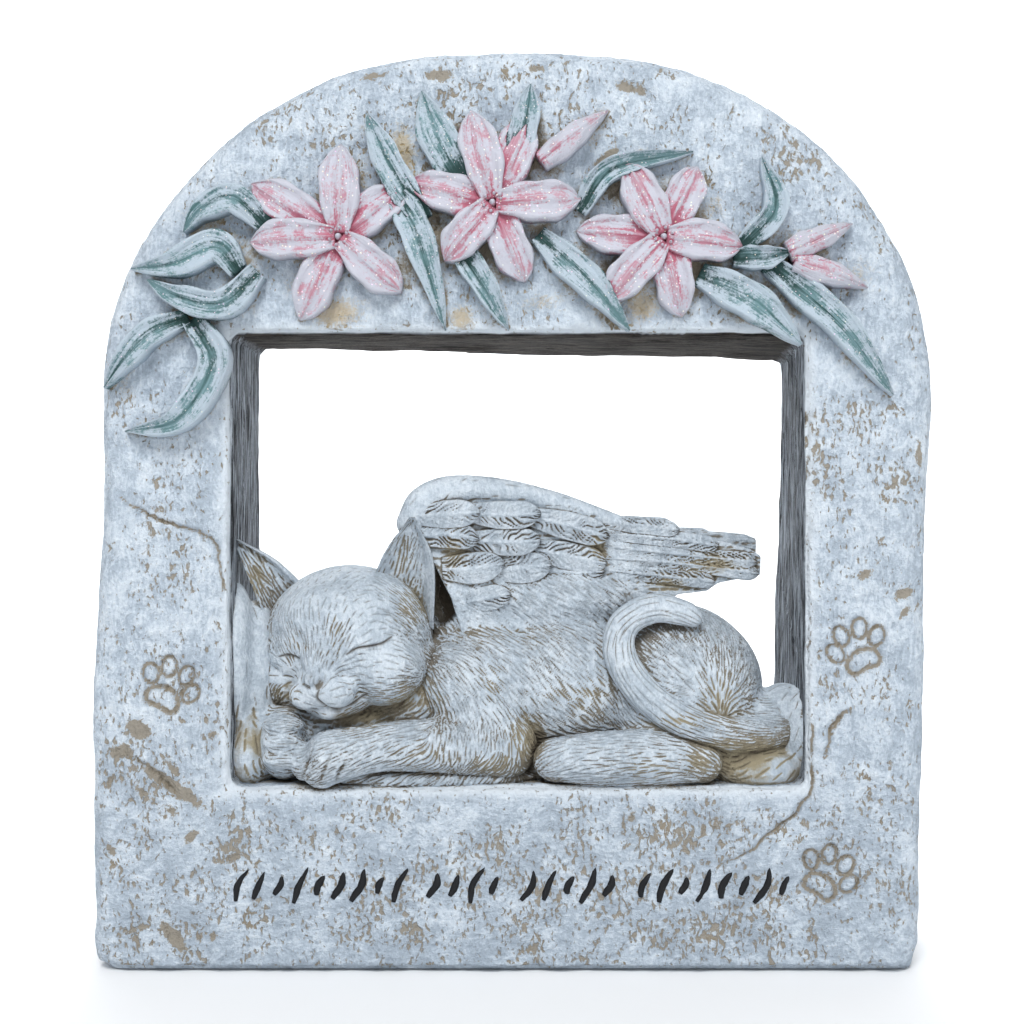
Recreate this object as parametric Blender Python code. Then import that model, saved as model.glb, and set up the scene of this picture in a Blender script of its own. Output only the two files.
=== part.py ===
"""A pet grave marker: an arched slab with a window, in which a winged kitten sleeps on the
sill, below a spray of lilies.

It is one casting. Lengths are in millimetres and become metres as each mesh is made. X runs to
the right as seen from the front, Y runs from the front to the back and Z is up. The origin is
on the ground, below the middle of the whole casting.
"""
import math

import bmesh
import bpy
from mathutils import Euler, Matrix, Vector
from mathutils.bvhtree import BVHTree

MM = 0.001

# The slab, with its arched top and its rough-hewn edge
SLAB_WIDTH = 181.8
SLAB_HEIGHT = 201.0
SLAB_DEPTH = 42.0
ARCH_RISE = 82.8
ARCH_FULLNESS = 2.28
ARCH_POINTS = 28
SIDE_POINTS = 6
LEAN = 2.8
LEAN_BEND = 8.0
LEAN_HEIGHT = 0.37
HEWN = 0.5
HEWN_WAVES = ((1.0, 3, 5.06), (1.14, 8, 5.05))
FRONT_ROUND = 5.5
BACK_ROUND = 2.5
FOOT_ROUND = 2.0
FOOT_CORNER = 5.5
ROUND_STEPS = 3

# The window, whose walls run straight through the slab
WINDOW_WIDTH = 123.6
WINDOW_HEIGHT = 97.2
WINDOW_OFFSET = 1.35
SILL_HEIGHT = 40.5
WINDOW_ARRIS = 1.3
WINDOW_SKEW = 1.8

# How far the lilies stand in front of the slab's face, and how deep their roots go into it
RELIEF_PROUD = 7.0
ROOT_DEPTH = 1.2

# A lily's petal, a leaf and a bud
PETAL_LENGTH = 18.6
PETAL_HALF = 4.25
PETAL_KEEL = 0.9
LEAF_KEEL = -0.8
BUD_LENGTH = 16.0
BUD_HALF = 2.7

# Paw prints and the row of strokes, cut into the face
PRINT_GROOVE = 0.95
PRINT_DEPTH = 0.6
TOE_LENGTH = 4.4
TOE_WIDTH = 3.2
PAD_LENGTH = 7.4
PAD_WIDTH = 5.6
STROKE_WIDTH = 1.5
STROKE_DEPTH = 0.7
STROKE_HEIGHT = 7.0
STROKE_LEAN = 0.42
STROKE_BOW = 0.16
STROKE_GROUPS = (9, 4, 5, 8)
GROUP_GAP = 0.75
STROKE_ROW_HEIGHT = 19.0
CRACK_WIDTH = 1.4
CRACK_DEPTH = 0.8

# The kitten's own frame: x from the window's middle, depth from the slab's face and z from
# the sill, in millimetres where the window is 124.5 wide and the slab 42 deep
KITTEN_SCALE = WINDOW_WIDTH / 124.5
KITTEN_DEPTH_SCALE = SLAB_DEPTH / 42.0
COARSE_VOXEL = 1.5
FINE_VOXEL = 1.0
BODY_FACES = 1100
HEAD_FACES = 880
TAIL_FACES = 200
HEAD_CENTRE = (-38.8, 16.4, 30.7)
HEAD_TURN = Euler((math.radians(12), math.radians(-7), math.radians(-22)), "XYZ")
WING_FRONT = 10.5
WING_THICKNESS = 5.5
WING_TILT = 0.06
WING_MIDDLE = 21.5
FEATHER_PROUD = 1.5

FRONT_Y = RELIEF_PROUD - (SLAB_DEPTH + RELIEF_PROUD) / 2
BACK_Y = FRONT_Y + SLAB_DEPTH
WINDOW_TOP = SILL_HEIGHT + WINDOW_HEIGHT
LINTEL_HEIGHT = SLAB_HEIGHT - WINDOW_TOP


def clear_scene():
    """Removes every object, so that the script can run twice."""
    for item in list(bpy.data.objects):
        bpy.data.objects.remove(item, do_unlink=True)


def collection(name):
    """Returns a new collection that belongs to the scene."""
    group = bpy.data.collections.new(name)
    bpy.context.scene.collection.children.link(group)
    return group


def body(name, mesh, group):
    """Turns a bmesh in millimetres into an object in metres."""
    bmesh.ops.recalc_face_normals(mesh, faces=mesh.faces)
    bmesh.ops.transform(mesh, matrix=Matrix.Scale(MM, 4), verts=mesh.verts)
    data = bpy.data.meshes.new(name)
    mesh.to_mesh(data)
    mesh.free()
    item = bpy.data.objects.new(name, data)
    group.objects.link(item)
    return item


def helper(name, mesh, group):
    """Makes an object that only shapes the marker and isn't a piece of it."""
    item = body(name, mesh, group)
    item.hide_render = True
    item.display_type = "WIRE"
    return item


def skin(rings, closed=False):
    """Covers rings of points with faces, and caps the two ends unless the rings close."""
    mesh = bmesh.new()
    loops = [[mesh.verts.new(point) for point in ring] for ring in rings]
    pairs = list(zip(loops, loops[1:]))
    if closed:
        pairs.append((loops[-1], loops[0]))
    else:
        mesh.faces.new(loops[0])
        mesh.faces.new(loops[-1])
    for first, second in pairs:
        for i in range(len(first)):
            j = (i + 1) % len(first)
            mesh.faces.new((first[i], first[j], second[j], second[i]))
    return mesh


def spline(points, count):
    """Returns count points on a smooth curve through the given points of any dimension."""
    points = [Vector(point) for point in points]
    ends = [2 * points[0] - points[1]] + points + [2 * points[-1] - points[-2]]
    result = []
    for i in range(count):
        place = i / (count - 1) * (len(points) - 1)
        k = min(int(place), len(points) - 2)
        t = place - k
        a, b, c, d = ends[k:k + 4]
        curve = 2 * b + (c - a) * t + (2 * a - 5 * b + 4 * c - d) * t ** 2
        curve += (3 * b - a - 3 * c + d) * t ** 3
        result.append(curve / 2)
    return result


# The slab

def slab_outline():
    """Returns the slab's outline as (x, z), clockwise from the left of its foot."""
    half = SLAB_WIDTH / 2
    spring = SLAB_HEIGHT - ARCH_RISE
    points = [(FOOT_CORNER - half, 0.0), (-half, FOOT_CORNER)]
    rise = spring - FOOT_CORNER
    points += [(-half, FOOT_CORNER + rise * i / SIDE_POINTS) for i in range(1, SIDE_POINTS)]
    power = 2 / ARCH_FULLNESS
    for i in range(ARCH_POINTS + 1):
        angle = math.pi * i / ARCH_POINTS
        across = -math.copysign(abs(math.cos(angle)) ** power, math.cos(angle))
        points.append((half * across, spring + ARCH_RISE * math.sin(angle) ** power))
    points += [(half, spring - rise * i / SIDE_POINTS) for i in range(1, SIDE_POINTS + 1)]
    points.append((half - FOOT_CORNER / 3, 0.0))
    return [hew(x, z) for x, z in points]


def hew(x, z):
    """Leans a point of the outline and makes it uneven, more so away from the foot."""
    angle = math.atan2(z - SLAB_HEIGHT / 2, x)
    uneven = HEWN * sum(share * math.sin(turns * angle + phase) for share, turns, phase in HEWN_WAVES)
    uneven *= min(1.0, z / FOOT_CORNER / 2)
    x += uneven * math.cos(angle)
    x += LEAN / 2 * math.tanh(LEAN_BEND * (z / SLAB_HEIGHT - LEAN_HEIGHT))
    return x, z + min(0.0, uneven * math.sin(angle)) if z > SLAB_HEIGHT / 2 else z


def slab_ring(outline, y, inset, foot):
    """Returns the outline at a depth, pulled in by inset, and by foot at its lower edge."""
    narrow = 1 - inset / (SLAB_WIDTH / 2)
    low = 1 - (inset + foot) / SLAB_HEIGHT
    return [(x * narrow, y, foot + z * low) for x, z in outline]


def slab():
    """Returns the solid slab, with its edges rounded at the front and the back."""
    outline = slab_outline()
    rings = []
    for i in range(ROUND_STEPS + 1):
        angle = math.radians(90) * i / ROUND_STEPS
        inward = 1 - math.sin(angle)
        y = FRONT_Y + FRONT_ROUND * (1 - math.cos(angle))
        rings.append(slab_ring(outline, y, FRONT_ROUND * inward, FOOT_ROUND * inward))
    rings.append(slab_ring(outline, BACK_Y - BACK_ROUND, 0.0, 0.0))
    rings.append(slab_ring(outline, BACK_Y, BACK_ROUND, FOOT_ROUND))
    return skin(rings)


def window():
    """Returns the window's cutter, flared a little at the slab's face."""
    past = 1.0
    rings = []
    for y, grow, skew in ((FRONT_Y - past, WINDOW_ARRIS + past, 0.0),
                          (FRONT_Y + WINDOW_ARRIS, 0.0, 0.0),
                          (BACK_Y + past, 0.0, WINDOW_SKEW)):
        left = WINDOW_OFFSET - WINDOW_WIDTH / 2 - grow
        right = WINDOW_OFFSET + WINDOW_WIDTH / 2 + grow
        low = SILL_HEIGHT - grow
        high = WINDOW_TOP + grow
        rings.append([(left, y, low), (right - skew / 2, y, low),
                      (right + skew, y, high - skew), (left, y, high + skew / 2)])
    return skin(rings)


# What grows on the slab

def blade(path, half, keel, count, start):
    """Returns a petal, leaf or feather with a crease along its middle.

    path runs from the base to the tip, as (x, height above the face, z); half is the greatest
    half width; keel lifts the middle above the edges, or sinks it where it is negative; start
    is how far along its swelling the base begins.
    """
    mesh = bmesh.new()
    bmesh.ops.create_grid(mesh, x_segments=2, y_segments=count - 1, size=1)
    line = spline(path, count)
    for vert in mesh.verts:
        step = round((vert.co.y + 1) / 2 * (count - 1))
        side = round(vert.co.x)
        along = step / (count - 1)
        ahead = line[min(step + 1, count - 1)] - line[max(step - 1, 0)]
        across = Vector((ahead.z, 0, -ahead.x)).normalized()
        swell = max(0.09, math.sin(math.pi * (start + (1 - start) * along)) ** 0.8)
        vert.co = line[step] + across * side * half * swell
        if side == 0:
            vert.co.y += keel * swell
    top = mesh.faces[:]
    made = bmesh.ops.extrude_face_region(mesh, geom=top, use_keep_orig=True)
    for vert in (item for item in made["geom"] if isinstance(item, bmesh.types.BMVert)):
        vert.co.y = -ROOT_DEPTH
    for vert in mesh.verts:
        vert.co.y = FRONT_Y - vert.co.y
    return mesh


def lintel(across, up):
    """Returns the place on the face given as shares of its width and of the lintel."""
    return Vector((SLAB_WIDTH * across, 0, WINDOW_TOP + LINTEL_HEIGHT * up))


def lily(name, across, up, petals, group):
    """Adds a lily with petals at the given angles, in degrees, and lengths, as shares."""
    centre = lintel(across, up)
    for i, (turn, long) in enumerate(petals):
        angle = math.radians(turn)
        out = Vector((math.cos(angle), 0, math.sin(angle)))
        reach = PETAL_LENGTH * long
        crest = RELIEF_PROUD - PETAL_KEEL - (1.4 if i % 2 else 0.0)
        heights = ((0.04, crest - 1.6), (0.45, crest), (0.8, crest - 1.3), (1.0, crest - 3.4))
        path = [centre + out * reach * share + Vector((0, high, 0)) for share, high in heights]
        helper(f"{name}_petal_{i}", blade(path, PETAL_HALF, PETAL_KEEL, 5, 0.16), group)
    rings = []
    for radius, high in ((3.4, -ROOT_DEPTH), (2.9, RELIEF_PROUD - 2.2), (1.3, RELIEF_PROUD - 0.3)):
        rings.append([(centre.x + radius * math.cos(math.radians(45 * i)), FRONT_Y - high,
                       centre.z + radius * math.sin(math.radians(45 * i))) for i in range(8)])
    helper(f"{name}_heart", skin(rings), group)


def lilies(group):
    """Adds the three lilies and the two sprays of buds."""
    lily("lily_left", -0.204, 0.327, ((89, 1.08), (148, 1.20), (183, 1.03), (244, 1.05),
                                      (319, 0.95), (38, 0.97)), group)
    lily("lily_middle", -0.023, 0.442, ((103, 1.10), (67, 1.12), (3, 1.02), (293, 0.97),
                                        (230, 0.86), (165, 1.0)), group)
    lily("lily_right", 0.178, 0.327, ((116, 0.95), (64, 0.93), (354, 0.92), (284, 0.93),
                                      (228, 0.96), (175, 1.0)), group)
    for i, (across, up, angle, length) in enumerate((
            (0.034, 0.582, 38, 1.15), (0.326, 0.278, 24, 0.95), (0.333, 0.246, -19, 1.05))):
        base = lintel(across, up)
        out = Vector((math.cos(math.radians(angle)), 0, math.sin(math.radians(angle))))
        out *= BUD_LENGTH * length
        crest = RELIEF_PROUD - 2.6
        path = [base + Vector((0, crest - 1, 0)), base + out / 2 + Vector((0, crest, 0)),
                base + out + Vector((0, crest - 2.4, 0))]
        helper(f"bud_{i}", blade(path, BUD_HALF, 1.5, 5, 0.3), group)


def leaf(name, shares, half, crest, group):
    """Adds a leaf along points given as shares, highest near its middle."""
    count = len(shares)
    path = []
    for i, (across, up) in enumerate(shares):
        high = crest * (0.55 + 0.45 * math.sin(math.pi * i / (count - 1)))
        path.append(lintel(across, up) + Vector((0, high, 0)))
    helper(name, blade(path, half, LEAF_KEEL, 6, 0.2), group)


def leaves(group):
    """Adds the leaves between the lilies and the curling ones at both shoulders."""
    upper = (((-0.105, 0.390), (-0.148, 0.590), (-0.172, 0.751), 3.4),
             ((-0.050, 0.470), (-0.088, 0.670), (-0.107, 0.826), 4.2),
             ((0.004, 0.560), (0.016, 0.730), (0.022, 0.850), 3.2),
             ((0.080, 0.420), (0.118, 0.560), (0.214, 0.620), 2.6),
             ((0.271, 0.293), (0.310, 0.430), (0.295, 0.603), 2.8))
    lower = (((-0.137, 0.472), (-0.110, 0.330), (-0.079, 0.018), 3.6),
             ((-0.070, 0.330), (-0.032, 0.160), (-0.004, 0.018), 2.8),
             ((0.031, 0.341), (0.090, 0.180), (0.139, 0.014), 3.4),
             ((0.221, 0.204), (0.285, 0.110), (0.342, -0.034), 3.9),
             ((0.303, 0.245), (0.390, 0.020), (0.450, -0.206), 3.3),
             ((0.262, 0.259), (0.297, 0.259), (0.329, 0.279), 2.6))
    for i, (base, middle, tip, half) in enumerate(upper):
        leaf(f"leaf_upper_{i}", (base, middle, tip), half, 4.2, group)
    for i, (base, middle, tip, half) in enumerate(lower):
        leaf(f"leaf_lower_{i}", (base, middle, tip), half, 4.8, group)
    curled = (((-0.290, 0.365), (-0.328, 0.458), (-0.365, 0.417), (-0.387, 0.345), 3.0),
              ((-0.323, 0.214), (-0.349, 0.293), (-0.400, 0.235), (-0.449, 0.221), 3.4),
              ((-0.300, 0.215), (-0.340, 0.100), (-0.390, 0.120), (-0.430, 0.185), 3.2),
              ((-0.378, 0.052), (-0.350, -0.100), (-0.390, -0.290), (-0.456, -0.330), 3.4),
              ((-0.383, 0.059), (-0.425, 0.000), (-0.456, -0.090), (-0.481, -0.182), 2.8))
    for i, (base, bend, turn, tip, half) in enumerate(curled):
        leaf(f"leaf_curled_{i}", (base, bend, turn, tip), half, 5.4, group)


# What is cut into the slab's face

def groove(path, width, depth, closed=False):
    """Returns a cutter with a V-shaped section along a path of (x, z) on the face."""
    above = 0.4
    rings = []
    count = len(path)
    for i, (x, z) in enumerate(path):
        if closed:
            before, after = path[i - 1], path[(i + 1) % count]
            share = 1.0
        else:
            before, after = path[max(i - 1, 0)], path[min(i + 1, count - 1)]
            share = max(0.15, math.sin(math.pi * i / (count - 1)) ** 0.6)
        run, rise = after[0] - before[0], after[1] - before[1]
        size = width / 2 * share / math.hypot(run, rise)
        side_x, side_z = rise * size, -run * size
        rings.append([(x + side_x, FRONT_Y - above, z + side_z),
                      (x - side_x, FRONT_Y - above, z - side_z),
                      (x, FRONT_Y + depth * share, z)])
    return skin(rings, closed)


def oval(centre, length, width, turn, dent=0.0, count=8):
    """Returns a closed path: an oval, dented from below where dent is above nought."""
    points = []
    for i in range(count):
        angle = 2 * math.pi * i / count
        reach = 1 - dent * max(0.0, -math.sin(angle)) ** 3
        x = length / 2 * math.cos(angle)
        z = width / 2 * math.sin(angle) * reach
        points.append((centre[0] + x * math.cos(turn) - z * math.sin(turn),
                       centre[1] + x * math.sin(turn) + z * math.cos(turn)))
    return points


def paw_print(name, x, z, turn, group):
    """Adds the cutters for a pad and its four toes, the toes fanned above the pad."""
    tilt = math.radians(turn)
    pad = oval((x, z), PAD_LENGTH, PAD_WIDTH, tilt, 0.5, 12)
    helper(f"{name}_pad", groove(pad, PRINT_GROOVE, PRINT_DEPTH, True), group)
    for i in range(4):
        fan = tilt + math.radians(33 * (1.5 - i))
        reach = PAD_WIDTH / 2 + TOE_LENGTH * (1.05 if i in (1, 2) else 0.8)
        toe = (x - reach * math.sin(fan), z + reach * math.cos(fan))
        ring = oval(toe, TOE_WIDTH, TOE_LENGTH, fan * 0.6)
        helper(f"{name}_toe_{i}", groove(ring, PRINT_GROOVE, PRINT_DEPTH, True), group)


def strokes():
    """Returns the paths of the row's slanted strokes, set in groups across the window's foot."""
    row = WINDOW_WIDTH - 2 * STROKE_HEIGHT * STROKE_LEAN
    pitch = row / (sum(STROKE_GROUPS) - 1 + GROUP_GAP * (len(STROKE_GROUPS) - 1))
    x = -row / 2
    paths = []
    for gathered in STROKE_GROUPS:
        for _ in range(gathered):
            i = len(paths)
            tall = STROKE_HEIGHT * (0.8 + 0.3 * math.sin(2.4 * i + 0.6))
            bow = STROKE_BOW * tall * math.cos(1.7 * i)
            path = []
            for up in (-0.5, 0.0, 0.5):
                path.append((x + tall * STROKE_LEAN * up + bow * (4 * up * up - 0.5),
                             STROKE_ROW_HEIGHT + tall * up))
            paths.append(path)
            x += pitch
        x += GROUP_GAP * pitch
    return paths


def carvings(group):
    """Adds the cutters for the paw prints, the row of strokes and the cracks."""
    side = (SLAB_WIDTH / 2 + WINDOW_OFFSET + WINDOW_WIDTH / 2) / 2
    paw_print("print_left", -side + WINDOW_OFFSET, SILL_HEIGHT + 18.4, -28, group)
    paw_print("print_right", side - 1.0, SILL_HEIGHT + 26.6, 24, group)
    paw_print("print_low", side - 10.5, STROKE_ROW_HEIGHT - 0.6, -33, group)
    for i, path in enumerate(strokes()):
        helper(f"stroke_{i}", groove(path, STROKE_WIDTH, STROKE_DEPTH), group)
    corner = WINDOW_OFFSET + WINDOW_WIDTH / 2
    edge = SLAB_WIDTH / 2
    low = SILL_HEIGHT
    cracks = (((corner + 0.3, low + 19), (corner + 1.6, low + 9), (corner + 0.6, low - 3),
               (corner - 9, low - 12), (corner - 19, low - 18)),
              ((edge - 17.5, low + 17), (edge - 21, low + 13), (edge - 23.5, low + 6)),
              ((-edge + 7, low + 7), (-edge + 13, low + 3.5), (-edge + 19, low - 3)))
    for i, points in enumerate(cracks):
        path = [(point.x, point.y) for point in spline(points, 2 * len(points) - 1)]
        helper(f"crack_{i}", groove(path, CRACK_WIDTH, CRACK_DEPTH), group)


# The kitten

def settle(mesh):
    """Moves a mesh from the kitten's own frame to its place on the sill."""
    for vert in mesh.verts:
        x, depth, z = vert.co
        vert.co = (WINDOW_OFFSET + x * KITTEN_SCALE, FRONT_Y + depth * KITTEN_DEPTH_SCALE,
                   SILL_HEIGHT + z * KITTEN_SCALE)
    return mesh


def lump(mesh, centre, radii, turn=Matrix()):
    """Adds an egg-shaped lump."""
    place = Matrix.Translation(centre) @ turn @ Matrix.Diagonal((*radii, 1))
    bmesh.ops.create_icosphere(mesh, subdivisions=3, radius=1, matrix=place)


def limb(mesh, path, count):
    """Adds a row of round lumps along a path of (x, depth, z, radius)."""
    for x, depth, z, radius in spline(path, count):
        lump(mesh, (x, depth, z), (radius, radius, radius))


def melt(mesh, voxel, faces, rounds):
    """Melts lumps into one smooth skin with about the given number of triangles."""
    item = body("lumps", mesh, bpy.context.scene.collection)
    remesh = item.modifiers.new("Melt", "REMESH")
    remesh.mode = "VOXEL"
    remesh.voxel_size = voxel * MM
    smooth = item.modifiers.new("Soften", "SMOOTH")
    smooth.iterations = rounds
    size = len(evaluated(item).polygons) * 2
    thin = item.modifiers.new("Thin", "DECIMATE")
    thin.ratio = faces / size
    result = bmesh.new()
    result.from_mesh(evaluated(item))
    bmesh.ops.transform(result, matrix=Matrix.Scale(1 / MM, 4), verts=result.verts)
    bpy.data.objects.remove(item, do_unlink=True)
    return result


def evaluated(item):
    """Returns the mesh that an object's modifiers make."""
    view = bpy.context.evaluated_depsgraph_get()
    return bpy.data.meshes.new_from_object(item.evaluated_get(view))


def kitten_body():
    """Returns the trunk, the haunch, the legs and the resin that ties them to the window."""
    mesh = bmesh.new()
    lumps = (((-7, 21, 18), (19, 17, 19)), ((11, 22, 20), (24, 17, 19)),
             ((36, 17, 18.5), (19.5, 14.5, 20.3)), ((37, 25, 19), (20, 14, 18.5)),
             ((48, 16, 9), (10, 11, 10)), ((-24, 19, 18), (14, 13, 15)),
             ((-8, 13, 18), (13, 9, 15)), ((-20, 19, 2), (27, 13, 6)),
             ((25, 19, 2), (34, 14, 6)), ((-61.5, 15, 27), (5, 9, 14)),
             ((60, 17, 12), (6, 11, 11)), ((-52, 14, 8), (9, 10, 9)),
             ((-37, 19, 13), (15, 12, 9)),
             ((-8, 17, 41), (14, 6, 14)), ((10, 16, 40), (18, 6, 8)))
    for centre, radii in lumps:
        lump(mesh, centre, radii)
    limb(mesh, ((-3, 7.5, 7.5, 7.4), (-14, 5, 8, 6.6), (-24, 3.5, 8.2, 5.8),
                (-33, 2.5, 7.6, 5.4), (-41, 1.6, 6, 6.0)), 15)
    limb(mesh, ((8.2, 4, 5, 5.0), (16, 3.5, 5.6, 5.6), (26, 3.5, 5.8, 6.0),
                (34, 4, 5.2, 5.3), (40.5, 5, 4.2, 4.6)), 14)
    lump(mesh, (-42.8, 0.6, 3.8), (4.6, 3.8, 4.6))
    lump(mesh, (-47.2, 2.6, 4.6), (2.6, 3.4, 4.0))
    for i in range(3):
        lump(mesh, (-51.6, 3.2, 12.8 - 3.7 * i), (4.8, 3.8, 2.2))
    return melt(mesh, COARSE_VOXEL, BODY_FACES, 6)


def kitten_tail():
    """Returns the tail, which sweeps along the sill and curls up over the haunch."""
    mesh = bmesh.new()
    limb(mesh, ((65, 14, 11.5, 4.6), (51, 6.8, 10, 4.1), (37.5, 4.2, 13.2, 4.0),
                (28, 4.6, 19.5, 3.9), (22.6, 5.4, 27.5, 3.7), (23.4, 6.4, 34.5, 3.5),
                (29.8, 6.6, 38.2, 3.4), (36.5, 6.2, 37.2, 2.9), (38.6, 6.0, 36.2, 2.3)), 44)
    return melt(mesh, FINE_VOXEL, TAIL_FACES, 2)


def kitten_head():
    """Returns the head in its own frame: x to its left, y out of its face and z up."""
    mesh = bmesh.new()
    lump(mesh, (0, 0, 0), (20, 17, 16.8))
    lump(mesh, (0, 8, 6), (13, 8.5, 9))
    lump(mesh, (0, 14, -0.5), (4.2, 4.6, 6))
    lump(mesh, (0, 13.5, -6.5), (7, 6.5, 5.2))
    lump(mesh, (0, 18.7, -3.6), (2.6, 1.9, 1.8))
    lump(mesh, (0.3, 15.2, -12.2), (3.6, 3.4, 2.4))
    lump(mesh, (0, 9, -10.5), (9, 8, 5))
    for side in (-1, 1):
        lump(mesh, (side * 11, 6, -6), (9.5, 9, 8.5))
        lump(mesh, (side * 13, 0, -7), (8, 9, 8))
        lump(mesh, (side * 3.7, 16.5, -7.8), (4.4, 3.8, 3.6))
        lump(mesh, (side * 8.4, 12.4, 0.6), (5.2, 3.2, 3.6))
    return melt(mesh, FINE_VOXEL, HEAD_FACES, 2)


def turn_head(mesh):
    """Turns the head from its own frame to its pose, in the kitten's frame."""
    for vert in mesh.verts:
        x, out, z = vert.co
        turned = Vector((x, -out, z))
        turned.rotate(HEAD_TURN)
        vert.co = turned + Vector(HEAD_CENTRE)
    bmesh.ops.recalc_face_normals(mesh, faces=mesh.faces)
    return mesh


def face_line(tree, points, radius):
    """Returns a thin cutter that follows the face through points of (x, z)."""
    path = []
    for x, z in points:
        hit = tree.ray_cast(Vector((x, 40, z)), Vector((0, -1, 0)))[0]
        path.append(hit)
    rings = []
    for i, point in enumerate(path):
        ahead = (path[min(i + 1, len(path) - 1)] - path[max(i - 1, 0)]).normalized()
        side = ahead.cross(Vector((0, 1, 0))).normalized()
        size = radius * (1 if 0 < i < len(path) - 1 else 0.4)
        rings.append([point + size * (side * math.cos(turn) + Vector((0, 1, 0)) * math.sin(turn))
                      for turn in (math.radians(60 * k) for k in range(6))])
    return skin(rings)


def ear(left, right, tip, cup, thickness):
    """Returns an ear: a cupped triangle between its two sides, each a path to the tip."""
    count = 5
    mesh = bmesh.new()
    bmesh.ops.create_grid(mesh, x_segments=4, y_segments=count, size=1)
    left_line = spline((*left, tip), count + 1)
    right_line = spline((*right, tip), count + 1)
    for vert in mesh.verts:
        step = round((vert.co.y + 1) / 2 * count)
        across = (vert.co.x + 1) / 2
        shrink = 0.94 if step == count else 1.0
        place = left_line[step].lerp(right_line[step], 0.5 + (across - 0.5) * shrink)
        if step == count:
            place.x += (across - 0.5) * 1.2
        hollow = 1 - (2 * across - 1) ** 2
        vert.co = place + Vector((0, cup * hollow * (1 - step / count) ** 0.5, 0))
    made = bmesh.ops.extrude_face_region(mesh, geom=mesh.faces[:], use_keep_orig=True)
    verts = [item for item in made["geom"] if isinstance(item, bmesh.types.BMVert)]
    bmesh.ops.translate(mesh, vec=(0, thickness, 0), verts=verts)
    return mesh


# The wings

def wing_depth(x, height, near):
    """Returns the depth of a point that stands a height above a wing's outer face."""
    depth = WING_FRONT + WING_TILT * (x + 26) - height
    return depth if near else 2 * WING_MIDDLE - depth


def wing_place(x, height, z, near):
    """Places a point of a wing; the far wing lifts a little towards its tip."""
    lift = 0.0 if near else 2.4 * max(0.0, (x - 20) / 28) ** 2
    return Vector((x, wing_depth(x, height, near), z + lift))


def wing_plate(near):
    """Returns a wing's plate, from the leading edge down to the trunk."""
    edge = spline(((-26, 55), (-25.5, 61), (-20.9, 65), (-14.5, 67.2), (-4, 66.9), (8, 64.0),
                   (19, 60.4), (27.3, 57), (34, 55.2), (46.9, 52.8)), 19)
    outline = [(point.x, point.y) for point in edge]
    outline += [(52.6, 51.2), (55.3, 49.6), (55.1, 45.2), (45.5, 43.4), (43.0, 41.6),
                (36, 40.8), (30, 34), (10, 30), (-12, 30), (-15, 40), (-20, 50)]
    rings = [[wing_place(x, height, z, near) for x, z in outline]
             for height in (-WING_THICKNESS, 0.0)]
    return skin(rings)


def feather(root, tip, half, near):
    """Returns one feather, raised on its wing's outer face."""
    mesh = bmesh.new()
    count = 3
    bmesh.ops.create_grid(mesh, x_segments=2, y_segments=count, size=1)
    run = Vector(tip) - Vector(root)
    across = Vector((-run.y, run.x)).normalized()
    for vert in mesh.verts:
        along = (vert.co.y + 1) / 2
        side = round(vert.co.x)
        round_tip = math.sqrt(max(0.0, 1 - max(0.0, along - 0.55) ** 2 / 0.24))
        width = half * max(0.12, round_tip) * (0.75 + 0.25 * min(1.0, along * 3))
        flat = Vector(root) + run * along + across * side * width
        height = FEATHER_PROUD * (0.25 + 0.75 * along) + (0.5 if side == 0 else 0.0)
        vert.co = (flat.x, height, flat.y)
    made = bmesh.ops.extrude_face_region(mesh, geom=mesh.faces[:], use_keep_orig=True)
    for vert in (item for item in made["geom"] if isinstance(item, bmesh.types.BMVert)):
        vert.co.y = -1.2
    for vert in mesh.verts:
        vert.co = wing_place(*vert.co, near)
    return mesh


def wing(name, near, group):
    """Adds a wing: its plate, its thick leading edge and its rows of feathers."""
    helper(f"{name}_plate", settle(wing_plate(near)), group)
    roll = bmesh.new()
    for x, z, radius in spline(((-24, 57, 3.4), (-21.5, 62, 3.3), (-15, 64.6, 3.2), (-4, 64.4, 2.8),
                                (8, 61.8, 2.5), (18, 58.6, 2.1), (27, 55.6, 1.6)), 26):
        lump(roll, wing_place(x, -1.2, z, near), (radius, radius, radius))
    helper(f"{name}_roll", settle(melt(roll, FINE_VOXEL, 200, 1)), group)
    rows = ((3, -20.4, 58.4, 12.9, -0.14, 2.7), (3, -20.4, 53.9, 13.0, -0.16, 2.6),
            (2, -14.4, 47.6, 11.0, 0.0, 3.1), (3, -9.5, 40.6, 9.0, 0.15, 2.5))
    for row, (count, x, z, pitch, rise, half) in enumerate(rows if near else rows[:1]):
        for i in range(count):
            root = (x + pitch * i, z + rise * pitch * i)
            tip = (root[0] + 1.09 * pitch, root[1] + 1.09 * rise * pitch)
            helper(f"{name}_covert_{row}_{i}", settle(feather(root, tip, half, near)), group)
    for i, reach in enumerate((16.5, 26.0, 35.0, 35.4, 25.4)):
        root = (19.2, 57.2 - 2.6 * i)
        tip = (root[0] + reach, root[1] - 0.1 * reach)
        helper(f"{name}_primary_{i}", settle(feather(root, tip, 1.9, near)), group)


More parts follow.
